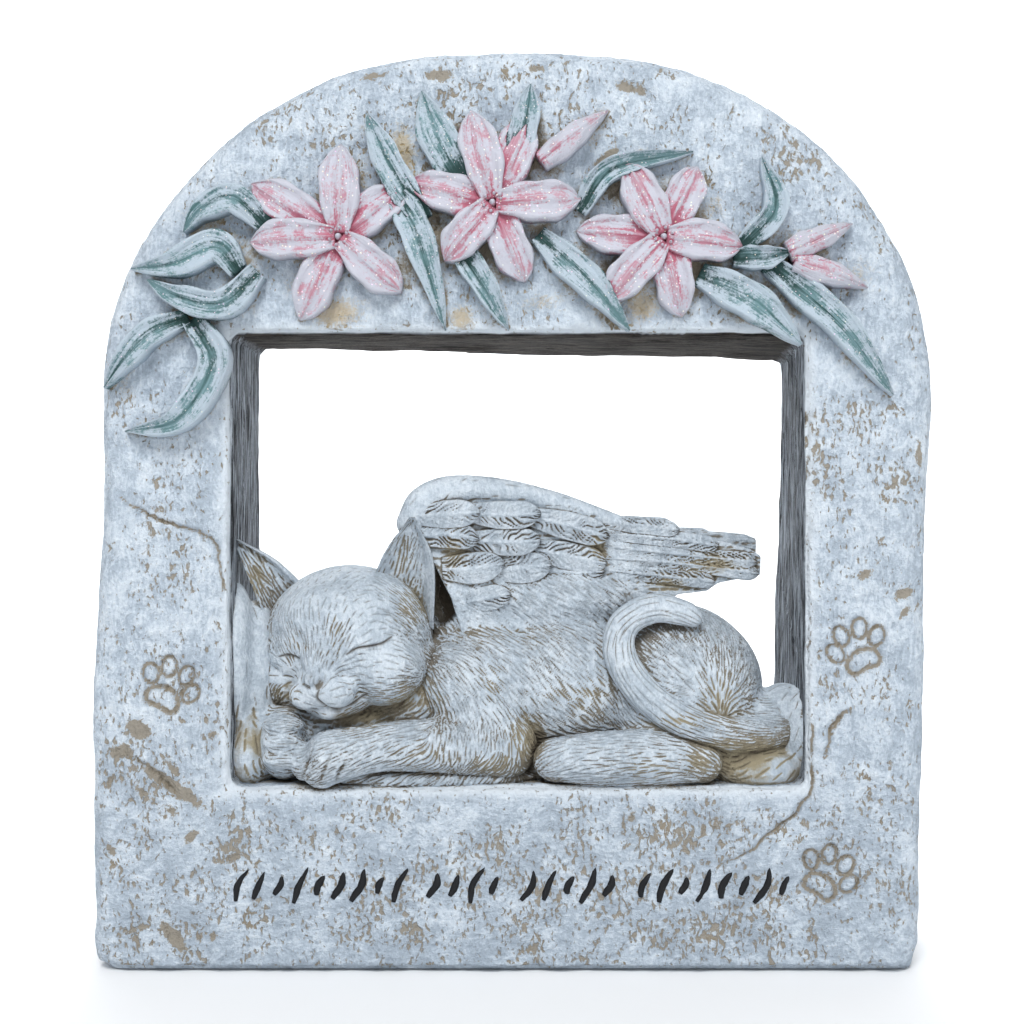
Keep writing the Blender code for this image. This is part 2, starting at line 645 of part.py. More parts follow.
def kitten(group, lines):
    """Adds the kitten, with the cutters for its eyes, nose and mouth."""
    helper("kitten_body", settle(kitten_body()), group)
    helper("kitten_tail", settle(kitten_tail()), group)
    head = kitten_head()
    tree = BVHTree.FromBMesh(head)
    for side in (-1, 1):
        eye = [(side * 5.2, -0.4), (side * 7.4, -1.0), (side * 9.8, -0.7), (side * 12.0, 0.4)]
        helper(f"eye_line_{side}", settle(turn_head(face_line(tree, eye, 0.5))), lines)
        lip = [(0.2, -8.6), (side * 2.2, -10.8), (side * 4.8, -11.2), (side * 7.4, -9.6)]
        helper(f"lip_line_{side}", settle(turn_head(face_line(tree, lip, 0.5))), lines)
    helper("kitten_head", settle(turn_head(head)), group)
    right = ear(((-34.0, 12, 43), (-31.3, 9.5, 51.0)), ((-18.2, 11.8, 32), (-18.2, 8.0, 49.0)),
                (-25.6, 6.5, 59.4), 4.5, 3.0)
    left = ear(((-57.5, 12, 36), (-60.8, 9.5, 46)), ((-48.0, 17, 42), (-55.0, 12.5, 49.0)),
               (-63.2, 9.0, 53.4), 2.0, 2.6)
    helper("ear_right", settle(right), group)
    helper("ear_left", settle(left), group)
    wing("wing_near", True, group)
    wing("wing_far", False, group)


def painted_resin():
    """Returns the casting's material: whitewashed cast resin."""
    material = bpy.data.materials.new("painted_resin")
    material.use_nodes = True
    shader = material.node_tree.nodes["Principled BSDF"]
    shader.inputs["Base Color"].default_value = (0.56, 0.63, 0.70, 1)
    shader.inputs["Roughness"].default_value = 0.7
    shader.inputs["Metallic"].default_value = 0.0
    return material


def join(item, operation, operand, group=None):
    """Adds a Boolean modifier that joins or cuts with an object or a whole collection."""
    boolean = item.modifiers.new(operation.title(), "BOOLEAN")
    boolean.operation = operation
    boolean.solver = "EXACT"
    boolean.use_self = operation == "UNION"
    if group is None:
        boolean.object = operand
    else:
        boolean.operand_type = "COLLECTION"
        boolean.collection = group


def main():
    """Builds the marker as one solid."""
    clear_scene()
    relief = collection("relief")
    cuts = collection("cuts")
    lines = collection("face_lines")
    marker = body("marker", slab(), bpy.context.scene.collection)
    lilies(relief)
    leaves(relief)
    carvings(cuts)
    kitten(relief, lines)
    join(marker, "DIFFERENCE", helper("window", window(), bpy.context.scene.collection))
    join(marker, "DIFFERENCE", None, cuts)
    join(marker, "UNION", None, relief)
    join(marker, "DIFFERENCE", None, lines)
    marker.data.materials.append(painted_resin())


main()
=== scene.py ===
"""The looks of a pet grave marker: an arched slab with a window, in which a winged kitten sleeps
on the sill, below a spray of lilies.

Every piece is worked in millimetres, in the marker's own frame: X to the right as seen from the
front, Y from the front to the back, Z up from the ground. Meshes become metres when they are done.
"""
import logging
import math
import random
from dataclasses import dataclass, field
from enum import Enum
from typing import Any, Callable, Iterable, Sequence

import bmesh
import bpy
import numpy as np
from mathutils import Euler, Matrix, Vector, noise
from mathutils.bvhtree import BVHTree
from mathutils.kdtree import KDTree


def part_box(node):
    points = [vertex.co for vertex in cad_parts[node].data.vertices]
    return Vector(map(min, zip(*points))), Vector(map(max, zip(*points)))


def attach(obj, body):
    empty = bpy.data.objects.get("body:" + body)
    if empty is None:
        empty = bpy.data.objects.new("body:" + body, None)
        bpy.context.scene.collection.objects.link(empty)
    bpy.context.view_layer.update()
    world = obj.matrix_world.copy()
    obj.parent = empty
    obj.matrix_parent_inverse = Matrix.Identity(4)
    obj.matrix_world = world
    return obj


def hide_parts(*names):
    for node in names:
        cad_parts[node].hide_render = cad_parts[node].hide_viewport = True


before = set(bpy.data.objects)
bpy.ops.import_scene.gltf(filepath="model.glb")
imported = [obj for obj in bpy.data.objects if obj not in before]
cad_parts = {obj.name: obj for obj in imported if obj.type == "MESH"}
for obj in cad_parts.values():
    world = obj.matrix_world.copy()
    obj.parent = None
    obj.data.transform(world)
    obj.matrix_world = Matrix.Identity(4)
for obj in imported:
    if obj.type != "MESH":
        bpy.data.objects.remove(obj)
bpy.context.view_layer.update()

log = logging.getLogger("marker")

MM = 0.001
NODE = "marker"
LOW, HIGH = (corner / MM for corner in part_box(NODE))

# The slab, whose front face lies behind the lilies
SLAB_DEPTH = 42.0
BACK_Y = HIGH.y
FRONT_Y = BACK_Y - SLAB_DEPTH
SLAB_WIDTH = 181.8
SLAB_HEIGHT = 201.0

# The window through it, and the sill on which the kitten lies
WINDOW_WIDTH = 123.6
WINDOW_HEIGHT = 97.2
WINDOW_OFFSET = 1.35
SILL_HEIGHT = 40.5
WINDOW_TOP = SILL_HEIGHT + WINDOW_HEIGHT
LINTEL_HEIGHT = SLAB_HEIGHT - WINDOW_TOP

# How the kitten's frame is scaled: x from the window's middle, depth from the face, z from the sill
KITTEN_SCALE = WINDOW_WIDTH / 124.5


class Field(str, Enum):
    """The values painted on a mesh's points, which the finishes read."""

    CUT = "cut"
    LINE_AND_SHADE = "line"
    HOLLOW_STAIN_AND_SHADE = "hollow"
    BARE = "bare"
    RIM = "rim"
    WORN = "worn"
    GOLD_AND_SHADOW = "gold"
    REVEAL = "reveal"
    JAMB = "jamb"
    EDGE = "edge"
    ALONG = "along"
    TONE = "tone"
    FLOW_COS = "flow_cos"
    FLOW_SIN = "flow_sin"
    THICK = "thick"


class Role(Enum):
    """What a light does for the picture."""

    KEY = "key"
    FILL = "fill"
    TOP = "top"
    BACKDROP = "backdrop"


# Curves and meshes

def spline(points: Sequence[Sequence[float]], count: int) -> list[Vector]:
    """Runs a smooth curve through points of any dimension.

    Args:
        points: The points to pass through.
        count: How many points to return.

    Returns:
        Points along the curve, evenly spaced in its own measure.
    """
    knots = [Vector(point) for point in points]
    knots = [2 * knots[0] - knots[1]] + knots + [2 * knots[-1] - knots[-2]]
    result = []
    for i in range(count):
        place = i / (count - 1) * (len(knots) - 3)
        k = min(int(place), len(knots) - 4)
        t = place - k
        a, b, c, d = knots[k:k + 4]
        curve = 2 * b + (c - a) * t + (2 * a - 5 * b + 4 * c - d) * t ** 2
        result.append((curve + (3 * b - a - 3 * c + d) * t ** 3) / 2)
    return result


def settle(point: Sequence[float]) -> Vector:
    """Returns the place on the sill of a point in the kitten's frame."""
    x, depth, z = point
    return Vector((WINDOW_OFFSET + x * KITTEN_SCALE, FRONT_Y + depth, SILL_HEIGHT + z * KITTEN_SCALE))


def unsettle(point: Vector) -> tuple[float, float]:
    """Returns a point's x and z in the kitten's frame."""
    return (point.x - WINDOW_OFFSET) / KITTEN_SCALE, (point.z - SILL_HEIGHT) / KITTEN_SCALE


def smoothstep(low: float, high: float, value: np.ndarray) -> np.ndarray:
    """Eases a value from nought at low to one at high."""
    share = np.clip((value - low) / (high - low), 0.0, 1.0)
    return share * share * (3 - 2 * share)


def soft_spots(x: np.ndarray, z: np.ndarray, spots: Iterable[Sequence[float]]) -> np.ndarray:
    """Blends soft spots, each given as x, z, half width, half height and strength."""
    total = np.zeros(len(x))
    for across, up, wide, tall, much in spots:
        total = np.maximum(total, much * np.exp(-((x - across) / wide) ** 2 - ((z - up) / tall) ** 2))
    return total


def piece(name: str, mesh: bmesh.types.BMesh) -> bpy.types.Object:
    """Turns a bmesh in millimetres into a smooth-shaded object in metres.

    Args:
        name: The piece's name.
        mesh: The bmesh, which is freed.

    Returns:
        The object, at the origin.
    """
    bmesh.ops.recalc_face_normals(mesh, faces=mesh.faces)
    bmesh.ops.transform(mesh, matrix=Matrix.Scale(MM, 4), verts=mesh.verts)
    data = bpy.data.meshes.new(name)
    mesh.to_mesh(data)
    mesh.free()
    data.shade_smooth()
    item = bpy.data.objects.new(name, data)
    bpy.context.scene.collection.objects.link(item)
    return item


def settled(item: bpy.types.Object) -> bpy.types.Object:
    """Replaces an object's mesh by what its modifiers make of it."""
    view = bpy.context.evaluated_depsgraph_get()
    data = bpy.data.meshes.new_from_object(item.evaluated_get(view))
    item.modifiers.clear()
    old = item.data
    item.data = data
    bpy.data.meshes.remove(old)
    return item


def melt(name: str, mesh: bmesh.types.BMesh, voxel: float, rounds: int) -> bpy.types.Object:
    """Melts overlapping lumps into one smooth skin.

    Args:
        name: The piece's name.
        mesh: The lumps, in millimetres.
        voxel: The size of the skin's cells, in millimetres.
        rounds: How often the skin is smoothed.

    Returns:
        The skinned object.
    """
    item = piece(name, mesh)
    remesh = item.modifiers.new("Melt", "REMESH")
    remesh.mode = "VOXEL"
    remesh.voxel_size = voxel * MM
    smooth = item.modifiers.new("Soften", "SMOOTH")
    smooth.iterations = rounds
    return settled(item)


def refine(item: bpy.types.Object, choose: Callable[[bmesh.types.BMFace], bool]) -> None:
    """Halves the cells of a skin where choose says so, and smooths what it halves."""
    mesh = bmesh.new()
    mesh.from_mesh(item.data)
    faces = [face for face in mesh.faces if choose(face)]
    edges = list({edge for face in faces for edge in face.edges})
    made = bmesh.ops.subdivide_edges(mesh, edges=edges, cuts=1, use_grid_fill=True)
    verts = [part for part in made["geom_inner"] if isinstance(part, bmesh.types.BMVert)]
    for _ in range(2):
        bmesh.ops.smooth_vert(mesh, verts=verts, factor=0.5, use_axis_x=True, use_axis_y=True,
                              use_axis_z=True)
    mesh.to_mesh(item.data)
    mesh.free()
    item.data.shade_smooth()


@dataclass
class Surface:
    """A piece's mesh while it is carved and painted, with its points in millimetres."""

    item: bpy.types.Object

    @property
    def points(self) -> np.ndarray:
        """The mesh's points, one row each."""
        flat = np.empty(len(self.item.data.vertices) * 3)
        self.item.data.vertices.foreach_get("co", flat)
        return flat.reshape(-1, 3) / MM

    @property
    def normals(self) -> np.ndarray:
        """The points' normals, one row each."""
        flat = np.empty(len(self.item.data.vertices) * 3)
        self.item.data.vertex_normals.foreach_get("vector", flat)
        return flat.reshape(-1, 3)

    def tree(self) -> BVHTree:
        """Returns a search tree of the mesh's faces."""
        return BVHTree.FromPolygons([Vector(row) for row in self.points],
                                    [face.vertices[:] for face in self.item.data.polygons])

    def shift(self, moves: np.ndarray) -> None:
        """Moves every point by its own row of millimetres."""
        places = (self.points + moves) * MM
        self.item.data.vertices.foreach_set("co", places.ravel())
        self.item.data.update()

    def paint(self, what: Field, values: np.ndarray) -> None:
        """Stores one value for each point."""
        kept = self.item.data.attributes
        layer = kept.get(what.value) or kept.new(what.value, "FLOAT", "POINT")
        layer.data.foreach_set("value", np.ascontiguousarray(values, dtype=np.float32))


# Carving

@dataclass(frozen=True)
class Lie:
    """Which way hair lies near a place of the kitten, seen from the front."""

    x: float
    z: float
    angle: float
    thick: float = 1.0


class Coat:
    """How the kitten's hair lies all over a piece."""

    def __init__(self, lies: Iterable[Sequence[float]]) -> None:
        """Keeps the lies, each as x, z, angle in degrees and how thick the hair is."""
        self.lies = [Lie(*row) for row in lies]

    def at(self, point: Vector) -> tuple[Vector, float]:
        """Blends the nearest lies.

        Args:
            point: A point in the marker's frame.

        Returns:
            The direction of the hair and how thick it is, from nought to one.
        """
        x, z = unsettle(point)
        run = rise = thick = total = 0.0
        for lie in self.lies:
            near = 1 / ((x - lie.x) ** 2 + (z - lie.z) ** 2 + 1.5) ** 2
            run += near * math.cos(math.radians(lie.angle))
            rise += near * math.sin(math.radians(lie.angle))
            thick += near * lie.thick
            total += near
        return Vector((run, 0.0, rise)).normalized(), thick / total


    def over(self, points: np.ndarray) -> tuple[np.ndarray, np.ndarray, np.ndarray]:
        """Blends the lies at many points.

        Args:
            points: The points, one row each.

        Returns:
            The cosine and sine of twice the hair's angle, and how thick the hair is.
        """
        x = (points[:, 0] - WINDOW_OFFSET) / KITTEN_SCALE
        z = (points[:, 2] - SILL_HEIGHT) / KITTEN_SCALE
        run, rise, thick, total = (np.zeros(len(points)) for _ in range(4))
        for lie in self.lies:
            near = 1 / ((x - lie.x) ** 2 + (z - lie.z) ** 2 + 1.5) ** 2
            run += near * math.cos(math.radians(lie.angle))
            rise += near * math.sin(math.radians(lie.angle))
            thick += near * lie.thick
            total += near
        angle = 2 * np.arctan2(rise, run)
        return np.cos(angle), np.sin(angle), thick / total


@dataclass
class Strokes:
    """Fine strokes cut into a skin, kept as close-set samples with a width and a depth."""

    places: list[Vector] = field(default_factory=list)
    sizes: list[tuple[float, float]] = field(default_factory=list)
    step: float = 0.14

    def add(self, path: Sequence[Vector], width: float, depth: float, taper: float = 0.6) -> None:
        """Adds one stroke that thins out towards both ends.

        Args:
            path: Points along the stroke, in millimetres.
            width: Its half width.
            depth: Its greatest depth.
            taper: How soon it reaches full depth: nought is at once.
        """
        lengths = [(b - a).length for a, b in zip(path, path[1:])]
        whole = sum(lengths) or 1.0
        done = 0.0
        for a, b, length in zip(path, path[1:], lengths):
            count = max(1, int(length / self.step))
            for k in range(count):
                share = (done + length * k / count) / whole
                swell = max(0.05, math.sin(math.pi * min(0.99, max(0.01, share)))) ** taper
                self.places.append(a.lerp(b, k / count))
                self.sizes.append((width * (0.5 + 0.5 * swell), depth * swell))
            done += length

    def field(self, points: np.ndarray) -> tuple[np.ndarray, np.ndarray]:
        """Finds how deep and how far inside a stroke each point lies.

        Args:
            points: The points to look at, one row each.

        Returns:
            The depth at each point, and its share of the stroke, from nought to one.
        """
        tree = KDTree(len(self.places))
        for i, place in enumerate(self.places):
            tree.insert(place, i)
        tree.balance()
        depth = np.zeros(len(points))
        share = np.zeros(len(points))
        for i, row in enumerate(points):
            _, index, distance = tree.find(row)
            width, deep = self.sizes[index]
            if distance < 3 * width:
                inside = math.exp(-(distance / width) ** 2)
                depth[i] = deep * inside
                share[i] = inside
        return depth, share


@dataclass(frozen=True)
class Comb:
    """The tool that cuts hair into a skin. Sizes are in millimetres."""

    length: float = 3.9
    pitch: float = 0.6
    width: float = 0.2
    depth: float = 0.42
    waver: float = 10.0
    facing: float = 0.35
    tries: int = 16000

    def draw(self, surface: Surface, coat: Coat, seed: int) -> Strokes:
        """Draws strokes over the part of a skin that faces the front, no two too close.

        Args:
            surface: The skin.
            coat: How its hair lies.
            seed: What the random choices start from.

        Returns:
            The strokes.
        """
        chance = random.Random(seed)
        tree = surface.tree()
        points, normals = surface.points, surface.normals
        places = np.flatnonzero(normals[:, 1] < self.facing)
        chosen = chance.sample(list(places), min(self.tries, len(places)))
        taken: dict[tuple[int, int, int], list[tuple[Vector, Vector, float]]] = {}
        strokes = Strokes()
        for index in chosen:
            start = Vector(points[index])
            along, thick = coat.at(start)
            if chance.random() > thick:
                continue
            length = self.length * chance.uniform(0.6, 1.25)
            pitch = self.pitch / max(0.35, thick)
            cell = tuple(int(c // self.length) for c in start)
            if self.crowded(taken, cell, start, along, length, pitch):
                continue
            taken.setdefault(cell, []).append((start, along, length))
            path = self.trace(tree, coat, start, length, chance.uniform(-self.waver, self.waver))
            strokes.add(path, self.width * chance.uniform(0.8, 1.2),
                        self.depth * chance.uniform(0.6, 1.2) * (0.5 + 0.5 * thick))
        return strokes

    def crowded(self, taken: dict, cell: tuple, start: Vector, along: Vector, length: float,
                pitch: float) -> bool:
        """Says whether a stroke would lie on another that is already there."""
        for i in (-1, 0, 1):
            for j in (-1, 0, 1):
                for k in (-1, 0, 1):
                    for place, way, reach in taken.get((cell[0] + i, cell[1] + j, cell[2] + k), ()):
                        gap = start - place
                        run = abs(gap.dot(way))
                        if run < 0.42 * (length + reach) and gap.length_squared - run * run < pitch * pitch:
                            return True
        return False

    def trace(self, tree: BVHTree, coat: Coat, start: Vector, length: float,
              bend: float) -> list[Vector]:
        """Follows the hair both ways from a point, on the skin.

        Args:
            tree: The skin's search tree.
            coat: How the hair lies.
            start: The stroke's middle.
            length: The stroke's length.
            bend: By how many degrees the stroke strays.

        Returns:
            Points along the stroke.
        """
        steps = 5
        turn = Matrix.Rotation(math.radians(bend), 3, "Y")
        halves = []
        for way in (-1, 1):
            here, half = start, []
            for _ in range(steps):
                along = turn @ coat.at(here)[0]
                near = tree.find_nearest(here + along * way * length / 2 / steps)[0]
                if near is None:
                    break
                here = near
                half.append(here)
            halves.append(half)
        return halves[0][::-1] + [start] + halves[1]


def project(tree: BVHTree, points: Sequence[Sequence[float]], count: int) -> list[Vector]:
    """Lays a curve, given by x and z in the kitten's frame, on a skin's front."""
    result = []
    for point in spline(points, count):
        place = settle((point[0], 0, point[1]))
        hit = tree.ray_cast(Vector((place.x, FRONT_Y - 40, place.z)), Vector((0, 1, 0)))[0]
        if hit is not None:
            result.append(hit)
    return result


def comb_out(surface: Surface, coat: Coat, comb: Comb, seed: int) -> None:
    """Cuts hair into a skin, and paints where the strokes are and how the hair lies."""
    depth, share = comb.draw(surface, coat, seed).field(surface.points)
    surface.shift(-surface.normals * depth[:, None])
    surface.paint(Field.CUT, share)
    lay_hair(surface, coat)


def lay_hair(surface: Surface, coat: Coat) -> None:
    """Paints how the hair lies on a skin."""
    for what, values in zip((Field.FLOW_COS, Field.FLOW_SIN, Field.THICK), coat.over(surface.points)):
        surface.paint(what, values)


def paint_tan_spots(surface: Surface) -> None:
    """Paints given spots where the kitten's whitewash gives way to its tan stain.

    Each spot is x, z, half width, half height and strength, in the kitten's frame.
    """
    spots = ((-25.3, 18.6, 10, 4, 0.9), (-34.0, 14.3, 8, 2.5, 0.9), (-5.7, 22.1, 3, 5, 0.7),
             (1.7, 9.9, 4, 6, 1.0), (-14.4, 50.8, 3, 6, 0.8), (-5.3, 4.7, 6, 3, 0.8),
             (11.3, 18.6, 8, 3, 0.6), (-20.9, 6.5, 10, 4, 0.5), (-51.4, 19.5, 4, 3, 0.7),
             (-59.2, 44.7, 3, 5, 0.9), (-59.2, 8.2, 3, 9, 1.1), (-23.6, 39.5, 5, 5, 0.7),
             (44.6, 18.4, 6, 6, 0.9), (52.0, 4.5, 9.5, 5, 1.5), (35.2, 14.0, 6, 2.4, 1.0),
             (46.1, 8.2, 8, 2.4, 0.9), (27.9, 3.6, 10, 3, 0.7), (39.5, 4.9, 5, 4, 0.8),
             (43.9, 47.6, 9, 3, 1.0), (33.7, 43.3, 8, 2.4, 1.0), (17.8, 51.3, 2.5, 4, 0.9),
             (14.9, 19.4, 5, 5, 0.7), (-40.2, 33.0, 2.5, 6, 0.5), (-49.0, 31.0, 2.5, 4, 0.5),
             (-26.0, 49.0, 3, 7, 0.5), (-3.0, 32.0, 14, 2.5, 0.4))
    points = surface.points
    x = (points[:, 0] - WINDOW_OFFSET) / KITTEN_SCALE
    z = (points[:, 2] - SILL_HEIGHT) / KITTEN_SCALE
    surface.paint(Field.WORN, soft_spots(x, z, spots))


# The slab

@dataclass
class Slab:
    """The arched slab with its window, paw prints, cracks, chips and worn paint."""

    arch_rise: float = 82.8
    arch_fullness: float = 2.28
    lean: float = 2.8
    lean_bend: float = 8.0
    lean_height: float = 0.37
    hewn: float = 0.5
    hewn_waves: tuple = ((1.0, 3, 5.06), (1.14, 8, 5.05))
    front_round: float = 5.5
    back_round: float = 2.5
    foot_round: float = 2.0
    foot_corner: float = 5.5
    window_arris: float = 1.3
    window_skew: float = 1.8
    voxel: float = 1.72
    print_groove: float = 0.45
    print_depth: float = 0.8
    toe: tuple = (4.4, 3.2)
    pad: tuple = (7.4, 5.6)

    def outline(self) -> list[tuple[float, float]]:
        """Returns the slab's outline as (x, z), clockwise from the left of its foot."""
        half = SLAB_WIDTH / 2
        spring = SLAB_HEIGHT - self.arch_rise
        rise = spring - self.foot_corner
        sides, arch = 40, 120
        points = [(-half * (1 - i / 30), 0.0) for i in range(2, 30)][::-1]
        points += [(self.foot_corner - half, 0.0), (-half + 1.2, 1.6), (-half, self.foot_corner)]
        points += [(-half, self.foot_corner + rise * i / sides) for i in range(1, sides)]
        power = 2 / self.arch_fullness
        for i in range(arch + 1):
            angle = math.pi * i / arch
            across = -math.copysign(abs(math.cos(angle)) ** power, math.cos(angle))
            points.append((half * across, spring + self.arch_rise * math.sin(angle) ** power))
        points += [(half, spring - rise * i / sides) for i in range(1, sides + 1)]
        points += [(half - self.foot_corner / 3, 0.0)]
        points += [(half * (1 - i / 30), 0.0) for i in range(2, 30)]
        return [self.hew(x, z) for x, z in points]

    def hew(self, x: float, z: float) -> tuple[float, float]:
        """Leans a point of the outline and makes it uneven, more so away from the foot."""
        angle = math.atan2(z - SLAB_HEIGHT / 2, x)
        uneven = self.hewn * sum(share * math.sin(turns * angle + phase)
                                 for share, turns, phase in self.hewn_waves)
        uneven *= min(1.0, z / self.foot_corner / 2)
        x += uneven * math.cos(angle)
        x += self.lean / 2 * math.tanh(self.lean_bend * (z / SLAB_HEIGHT - self.lean_height))
        return x, z + min(0.0, uneven * math.sin(angle)) if z > SLAB_HEIGHT / 2 else z

    def solid(self) -> bmesh.types.BMesh:
        """Returns the slab without its window, with its edges rounded."""
        outline = self.outline()
        mesh = bmesh.new()
        bmesh.ops.create_circle(mesh, cap_ends=True, segments=len(outline), radius=1)
        ring = list(mesh.verts)
        steps = 5
        rings = []
        for i in range(steps + 1):
            angle = math.radians(90) * i / steps
            inward = 1 - math.sin(angle)
            rings.append((FRONT_Y + self.front_round * (1 - math.cos(angle)),
                          self.front_round * inward, self.foot_round * inward))
        rings.append((BACK_Y - self.back_round, 0.0, 0.0))
        rings.append((BACK_Y, self.back_round, self.foot_round))
        face = next(iter(mesh.faces))
        for i, (y, inset, foot) in enumerate(rings):
            if i:
                made = bmesh.ops.extrude_face_region(mesh, geom=[face], use_keep_orig=i == 1)
                face = next(part for part in made["geom"] if isinstance(part, bmesh.types.BMFace))
                ring = list(face.verts)
            low = 1 - (inset + foot) / SLAB_HEIGHT
            narrow = 1 - inset / (SLAB_WIDTH / 2)
            for vert, (x, z) in zip(ring, outline):
                vert.co = (x * narrow, y, foot + z * low)
        return mesh

    def opening(self) -> bmesh.types.BMesh:
        """Returns the window's cutter, flared a little at the slab's face."""
        past = 1.0
        mesh = bmesh.new()
        bmesh.ops.create_circle(mesh, cap_ends=True, segments=4, radius=1)
        ring, face = list(mesh.verts), next(iter(mesh.faces))
        for i, (y, grow, skew) in enumerate(((FRONT_Y - past, self.window_arris + past, 0.0),
                                             (FRONT_Y + self.window_arris, 0.0, 0.0),
                                             (BACK_Y + past, 0.0, self.window_skew))):
            if i:
                made = bmesh.ops.extrude_face_region(mesh, geom=[face], use_keep_orig=i == 1)
                face = next(part for part in made["geom"] if isinstance(part, bmesh.types.BMFace))
                ring = list(face.verts)
            left = WINDOW_OFFSET - WINDOW_WIDTH / 2 - grow
            right = WINDOW_OFFSET + WINDOW_WIDTH / 2 + grow
            low, high = SILL_HEIGHT - grow, WINDOW_TOP + grow
            for vert, (x, z) in zip(ring, ((left, low), (right - skew / 2, low),
                                           (right + skew, high - skew), (left, high + skew / 2))):
                vert.co = (x, y, z)
        return mesh

    def prints(self) -> list[tuple[list[Vector], float, float]]:
        """Returns the paw prints' grooves, each as a closed path, a half width and a depth."""
        side = (SLAB_WIDTH / 2 + WINDOW_OFFSET + WINDOW_WIDTH / 2) / 2
        grooves = []
        for x, z, turn in ((-side + WINDOW_OFFSET, SILL_HEIGHT + 18.4, -28),
                           (side - 1.0, SILL_HEIGHT + 26.6, 24), (side - 10.5, 18.4, -33)):
            tilt = math.radians(turn)
            pad = self.oval((x, z), *self.pad, tilt, 0.5)
            grooves.append((pad, self.print_groove * 1.4, self.print_depth))
            for i in range(4):
                fan = tilt + math.radians(33 * (1.5 - i))
                reach = self.pad[1] / 2 + self.toe[0] * (1.05 if i in (1, 2) else 0.8)
                spot = (x - reach * math.sin(fan), z + reach * math.cos(fan))
                grooves.append((self.oval(spot, self.toe[1], self.toe[0], fan * 0.6, 0.0),
                                self.print_groove, self.print_depth))
        return grooves

    @staticmethod
    def oval(centre: tuple[float, float], length: float, width: float, turn: float,
             dent: float) -> list[Vector]:
        """Returns a closed path on the face: an oval, dented from below."""
        path = []
        for i in range(41):
            angle = math.pi * i / 20
            x = length / 2 * math.cos(angle)
            z = width / 2 * math.sin(angle) * (1 - dent * max(0.0, -math.sin(angle)) ** 3)
            path.append(Vector((centre[0] + x * math.cos(turn) - z * math.sin(turn), FRONT_Y,
                                centre[1] + x * math.sin(turn) + z * math.cos(turn))))
        return path

    def cracks(self) -> list[list[Vector]]:
        """Returns the cracks that run from the window's corners and at the left."""
        corner, edge, low = WINDOW_OFFSET + WINDOW_WIDTH / 2, SLAB_WIDTH / 2, SILL_HEIGHT
        chance = random.Random(5)
        lines = (((corner + 0.3, low + 19), (corner + 1.6, low + 9), (corner + 0.6, low - 3),
                  (corner - 9, low - 12), (corner - 19, low - 18)),
                 ((edge - 17.5, low + 17), (edge - 21, low + 13), (edge - 23.5, low + 6)),
                 ((-edge + 7, low + 7), (-edge + 13, low + 3.5), (-edge + 19, low - 3)),
                 ((-edge + 6.5, low + 62), (-edge + 15, low + 57), (-edge + 26, low + 53),
                  (-edge + 28.8, low + 42)))
        return [[Vector((x + chance.uniform(-0.5, 0.5), FRONT_Y, z + chance.uniform(-0.5, 0.5)))
                 for x, z in spline(line, 26)] for line in lines]

    def chips(self) -> tuple:
        """Returns where paint and skin have come off: x, z, half length, half width, angle."""
        return ((-80.8, 52.7, 3.2, 2.0, -30), (-84.6, 47.8, 2.4, 1.5, 10),
                (-73.2, 40.2, 8.6, 1.5, -34), (-72.8, 43.8, 3.6, 0.8, -42),
                (-86.7, 41.5, 1.6, 0.8, 70), (-79.0, 38.6, 2.6, 0.7, -35),
                (-74.5, 35.6, 2.2, 0.7, -35), (-86.6, 26.3, 1.9, 0.8, -50),
                (-73.2, 8.0, 4.2, 1.5, -50), (-67.6, 7.8, 1.0, 0.7, 60),
                (-64.6, 7.8, 1.1, 0.7, 80), (-69.6, 29.4, 1.6, 1.0, 40),
                (-60.2, 25.0, 1.9, 1.0, 40), (-66.0, 55.0, 1.1, 0.7, -60),
                (-64.5, 51.5, 1.0, 0.7, -60), (25.7, 33.7, 0.8, 1.9, 10),
                (41.5, 31.0, 0.7, 1.9, -12), (44.0, 32.0, 0.7, 1.6, 0), (46.8, 31.2, 0.7, 1.5, -10),
                (88.4, 112.0, 0.9, 3.6, 0), (76.5, 86.3, 1.9, 0.8, 30), (84.3, 81.8, 2.8, 1.1, 22),
                (85.2, 78.3, 1.5, 0.8, 40), (-30.0, 194.0, 2.8, 1.0, 10), (-15.6, 194.0, 3.0, 1.2, 0),
                (5.0, 195.5, 2.4, 0.9, -5), (26.0, 191.0, 3.6, 1.0, -16), (20.4, 176.0, 4.8, 1.1, 36))

    def worn_spots(self) -> tuple:
        """Returns where the paint is thin: x, z, half width, half height and how much."""
        return ((0, 16, 110, 20, 0.6), (-78, 60, 14, 40, 0.25), (-59, 27, 7, 8, 1.0), (-44, 30, 5, 3, 0.8), (-23, 8, 8, 5, 0.9), (9, 7, 8, 3, 0.8),
                (30, 29, 13, 7, 1.0), (35, 9, 14, 7, 1.0), (56, 13, 3, 10, 0.9), (76, 119, 8, 6, 0.8),
                (67, 111, 4, 5, 0.7), (80, 106, 6, 6, 0.6), (72, 92, 6, 5, 0.5), (-80, 38, 9, 14, 0.7),
                (-80, 16, 9, 7, 0.6), (-50, 183, 26, 14, 0.5), (-8, 190, 18, 8, 0.6),
                (62, 172, 12, 12, 0.5), (-66, 62, 5, 12, 0.6), (0, 32, 12, 4, 0.35),
                (-76, 92, 10, 24, 0.35), (78, 30, 10, 14, 0.5), (74, 62, 5, 8, 0.4))

